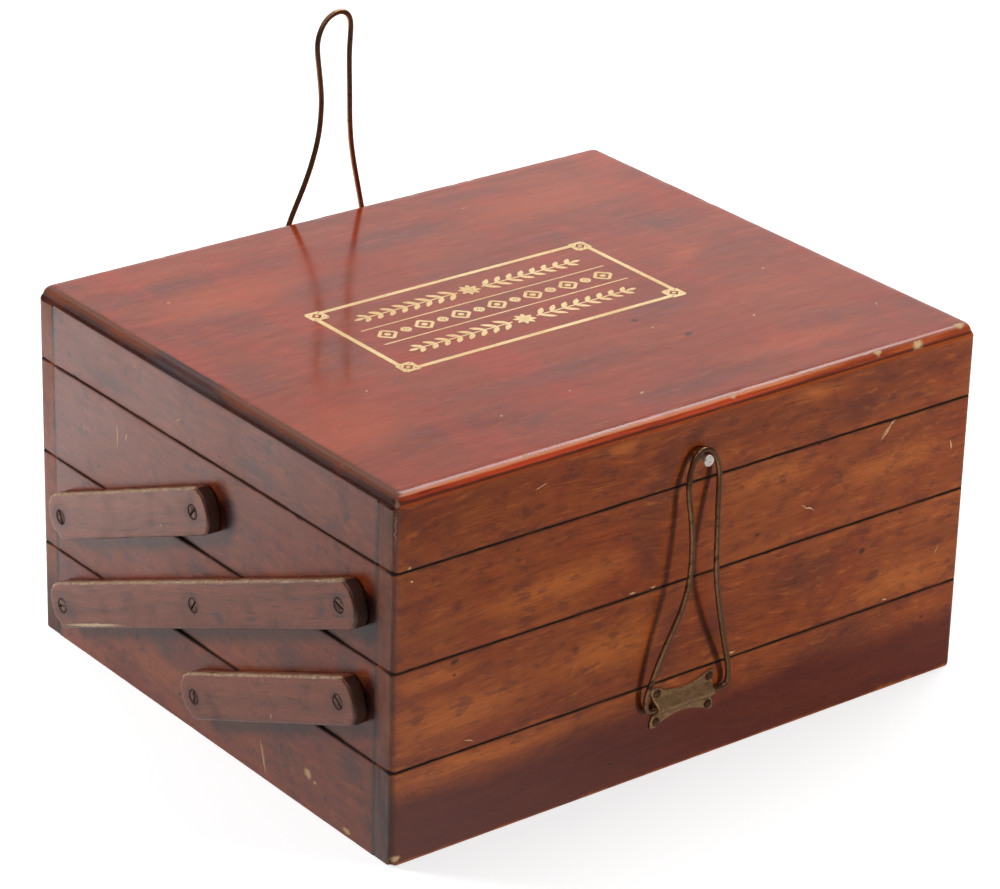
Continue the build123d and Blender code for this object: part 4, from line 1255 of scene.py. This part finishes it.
def leaf(x, y, angle, length, width):
    """A pointed leaf that starts at a point."""
    line = straight(x, y, x + length * math.cos(angle), y + length * math.sin(angle), length / 8)
    swell = (math.sin(math.pi * min(1, (k + 0.15) / 8.3)) for k in range(len(line)))
    gilt_ribbon(line, [max(0.12, width * share**0.8) for share in swell])


def gilt_outline(corners, width, x=0.0, y=0.0, sx=1, sy=1):
    """Strokes from corner to corner, about a place and mirrored by the signs."""
    for (ax, ay), (bx, by) in zip(corners, corners[1:]):
        gilt_ribbon(straight(x + sx * ax, y + sy * ay, x + sx * bx, y + sy * by, 1.0), width)


def laurel(y, reach, pitch, thick):
    """Two straight sprays of paired leaves that grow out from a rosette in the middle."""
    middle = (PANEL_X[0] + PANEL_X[1]) / 2
    for petal in range(8):
        leaf(middle, y, math.pi * petal / 4 + math.pi / 8, 5.2, 2.3)
    gilt_disc(middle, y, 1.3, 16)
    for side in (-1, 1):
        gilt_ribbon(straight(middle + side * 6.5, y, middle + side * (reach - 4), y), thick)
        pairs = int((reach - 8) / pitch)
        for k in range(pairs):
            x = middle + side * (8 + k * pitch)
            length = pitch * (1.16 - 0.35 * k / pairs)
            for over in (-1, 1):
                angle = over * math.radians(43)
                leaf(x, y + over * thick * 0.3, angle if side > 0 else math.pi - angle, length, 2.5)
        leaf(middle + side * (reach - 4.5), y, 0.0 if side > 0 else math.pi, 5.0, 2.2)


def make_gilt_panel():
    (x0, x1), (y0, y1) = PANEL_X, PANEL_Y
    knot = 7.0
    for y in (y0, y1):
        gilt_ribbon(straight(x0 + knot - 1, y, x1 - knot + 1, y), 2.3)
    for x in (x0, x1):
        gilt_ribbon(straight(x, y0 + knot - 1, x, y1 - knot + 1), 2.3)
    for x, sx in ((x0, 1), (x1, -1)):
        for y, sy in ((y0, 1), (y1, -1)):
            # a square knot that the frame's lines run into, with a smaller one turned inside
            ring = [
                (-1.2, -1.2), (knot - 1.4, -1.2), (knot - 1.4, knot - 1.4), (-1.2, knot - 1.4), (-1.2, -1.2)
            ]
            gilt_outline(ring, 1.7, x, y, sx, sy)
            c = (knot - 2.6) / 2
            diamond = [(c, -1.2), (knot - 1.4, c), (c, knot - 1.4), (-1.2, c), (c, -1.2)]
            gilt_outline(diamond, 1.1, x, y, sx, sy)
            gilt_disc(x + sx * c, y + sy * c, 0.9, 12)
    middle_x, middle_y = (x0 + x1) / 2, (y0 + y1) / 2
    laurel(middle_y + 19.5, 60.0, 6.4, 0.9)
    laurel(middle_y - 19.0, 60.0, 6.4, 0.9)
    # a row of lozenges between two fine rules
    for y in (middle_y + 8.6, middle_y - 8.2):
        gilt_ribbon(straight(x0 + 8, y, x1 - 8, y), 0.8)
    for k in range(-6, 7):
        x = middle_x + 9.6 * k
        size = 4.5 if k % 2 == 0 else 2.3
        left, right, near, far = x - size, x + size, middle_y - size, middle_y + size
        lozenge = [(left, middle_y), (x, far), (right, middle_y), (x, near), (left, middle_y)]
        gilt_outline(lozenge, 1.5)
        gilt_disc(x, middle_y, size * 0.32, 16)
    make_piece("gilt_panel", gilt_points, gilt_faces, gilt, "lid", (), 30.0, None, False)


make_gilt_panel()


# ---------------------------------------------------------------- floor and light
FLOOR_REACH = 6.0


def make_floor():
    """A pale floor that keeps the shadow; in reflections it is bright near the left rear."""
    made, g = material("floor_white")
    ray = g.node("ShaderNodeLightPath").outputs
    x, y, _ = g.split(g.place())
    diffuse = g.node("ShaderNodeBsdfDiffuse", {"Color": (0.52, 0.52, 0.52, 1)})
    lift = g.node("ShaderNodeEmission", {"Strength": g.times(ray["Is Camera Ray"], 0.70)})
    seen = g.node("ShaderNodeAddShader", {0: diffuse.outputs[0], 1: lift.outputs[0]})
    left = g.times(g.span(x, 0.10, -0.20), g.span(y, 0.06, 0.34, 0.68, 1.92))
    near = g.span(x, -0.62, -0.44)
    mirror = g.times(g.times(left, near), g.span(y, 0.95, 0.6))
    front = g.times(g.span(x, -0.20, 0.45, 0.12, 0.46), g.span(y, -0.9, -0.55))
    mirror = g.plus(mirror, front)
    mirrored = g.node("ShaderNodeEmission", {"Strength": g.most(mirror, 0.08)})
    inputs = {0: ray["Is Glossy Ray"], 1: seen.outputs[0], 2: mirrored.outputs[0]}
    both = g.node("ShaderNodeMixShader", inputs)
    g.node("ShaderNodeOutputMaterial", {"Surface": both.outputs[0]})
    mesh = bpy.data.meshes.new("floor")
    reach = FLOOR_REACH
    corners = [(-reach, -reach, 0), (reach, -reach, 0), (reach, reach, 0), (-reach, reach, 0)]
    mesh.from_pydata(corners, [], [(0, 1, 2, 3)])
    mesh.materials.append(made)
    floor = add_object("floor", mesh)
    floor.location.z = -0.0002


def make_world():
    """White to the camera, even fill light, and a studio with bright panels in reflections."""
    world = bpy.data.worlds.new("studio")
    bpy.context.scene.world = world
    world.use_nodes = True
    g = Graph(world.node_tree)
    ray = g.node("ShaderNodeLightPath").outputs
    x, y, z = g.split(g.node("ShaderNodeTexCoord").outputs["Generated"])
    behind = g.times(g.span(x, -0.15, 0.30), g.span(y, -0.05, 0.45))
    backdrop = g.times(g.times(behind, g.span(z, 0.52, 0.35, 0.22, 0.92)), g.span(z, -0.25, 0.10))
    above = g.times(g.span(x, 0.35, 0.05), g.span(z, 0.46, 0.62, 0.0, 0.7))
    studio = g.plus(g.plus(backdrop, above), 0.07)
    glossy = ray["Is Glossy Ray"]
    level = g.plus(g.times(glossy, studio), g.times(g.minus(1.0, glossy), 0.25))
    level = g.most(level, ray["Is Camera Ray"])
    background = g.node("ShaderNodeBackground", {"Color": (1, 1, 1, 1), "Strength": level})
    g.node("ShaderNodeOutputWorld", {"Surface": background.outputs[0]})


def lamp(name, place, aim, size, power, mirrored=False):
    data = bpy.data.lights.new(name, "AREA")
    data.shape = "DISK"
    data.size = size
    data.energy = power
    made = add_object(name, data)
    made.location = place
    made.rotation_mode = "QUATERNION"
    made.rotation_quaternion = (Vector(aim) - Vector(place)).to_track_quat("-Z", "Y")
    made.visible_glossy = mirrored


make_camera()
make_floor()
make_world()
lamp("key", (0.84, -1.25, 0.14), (0, -0.129, 0.08), 0.30, 19.2)
lamp("above", (0.75, 0.33, 1.35), (0, 0, 0.1), 1.1, 18.0, True)
lamp("left", (-1.15, 1.25, 0.75), (-0.15, 0, 0.08), 0.55, 29.0)

scene = bpy.context.scene
scene.view_settings.view_transform = "Standard"
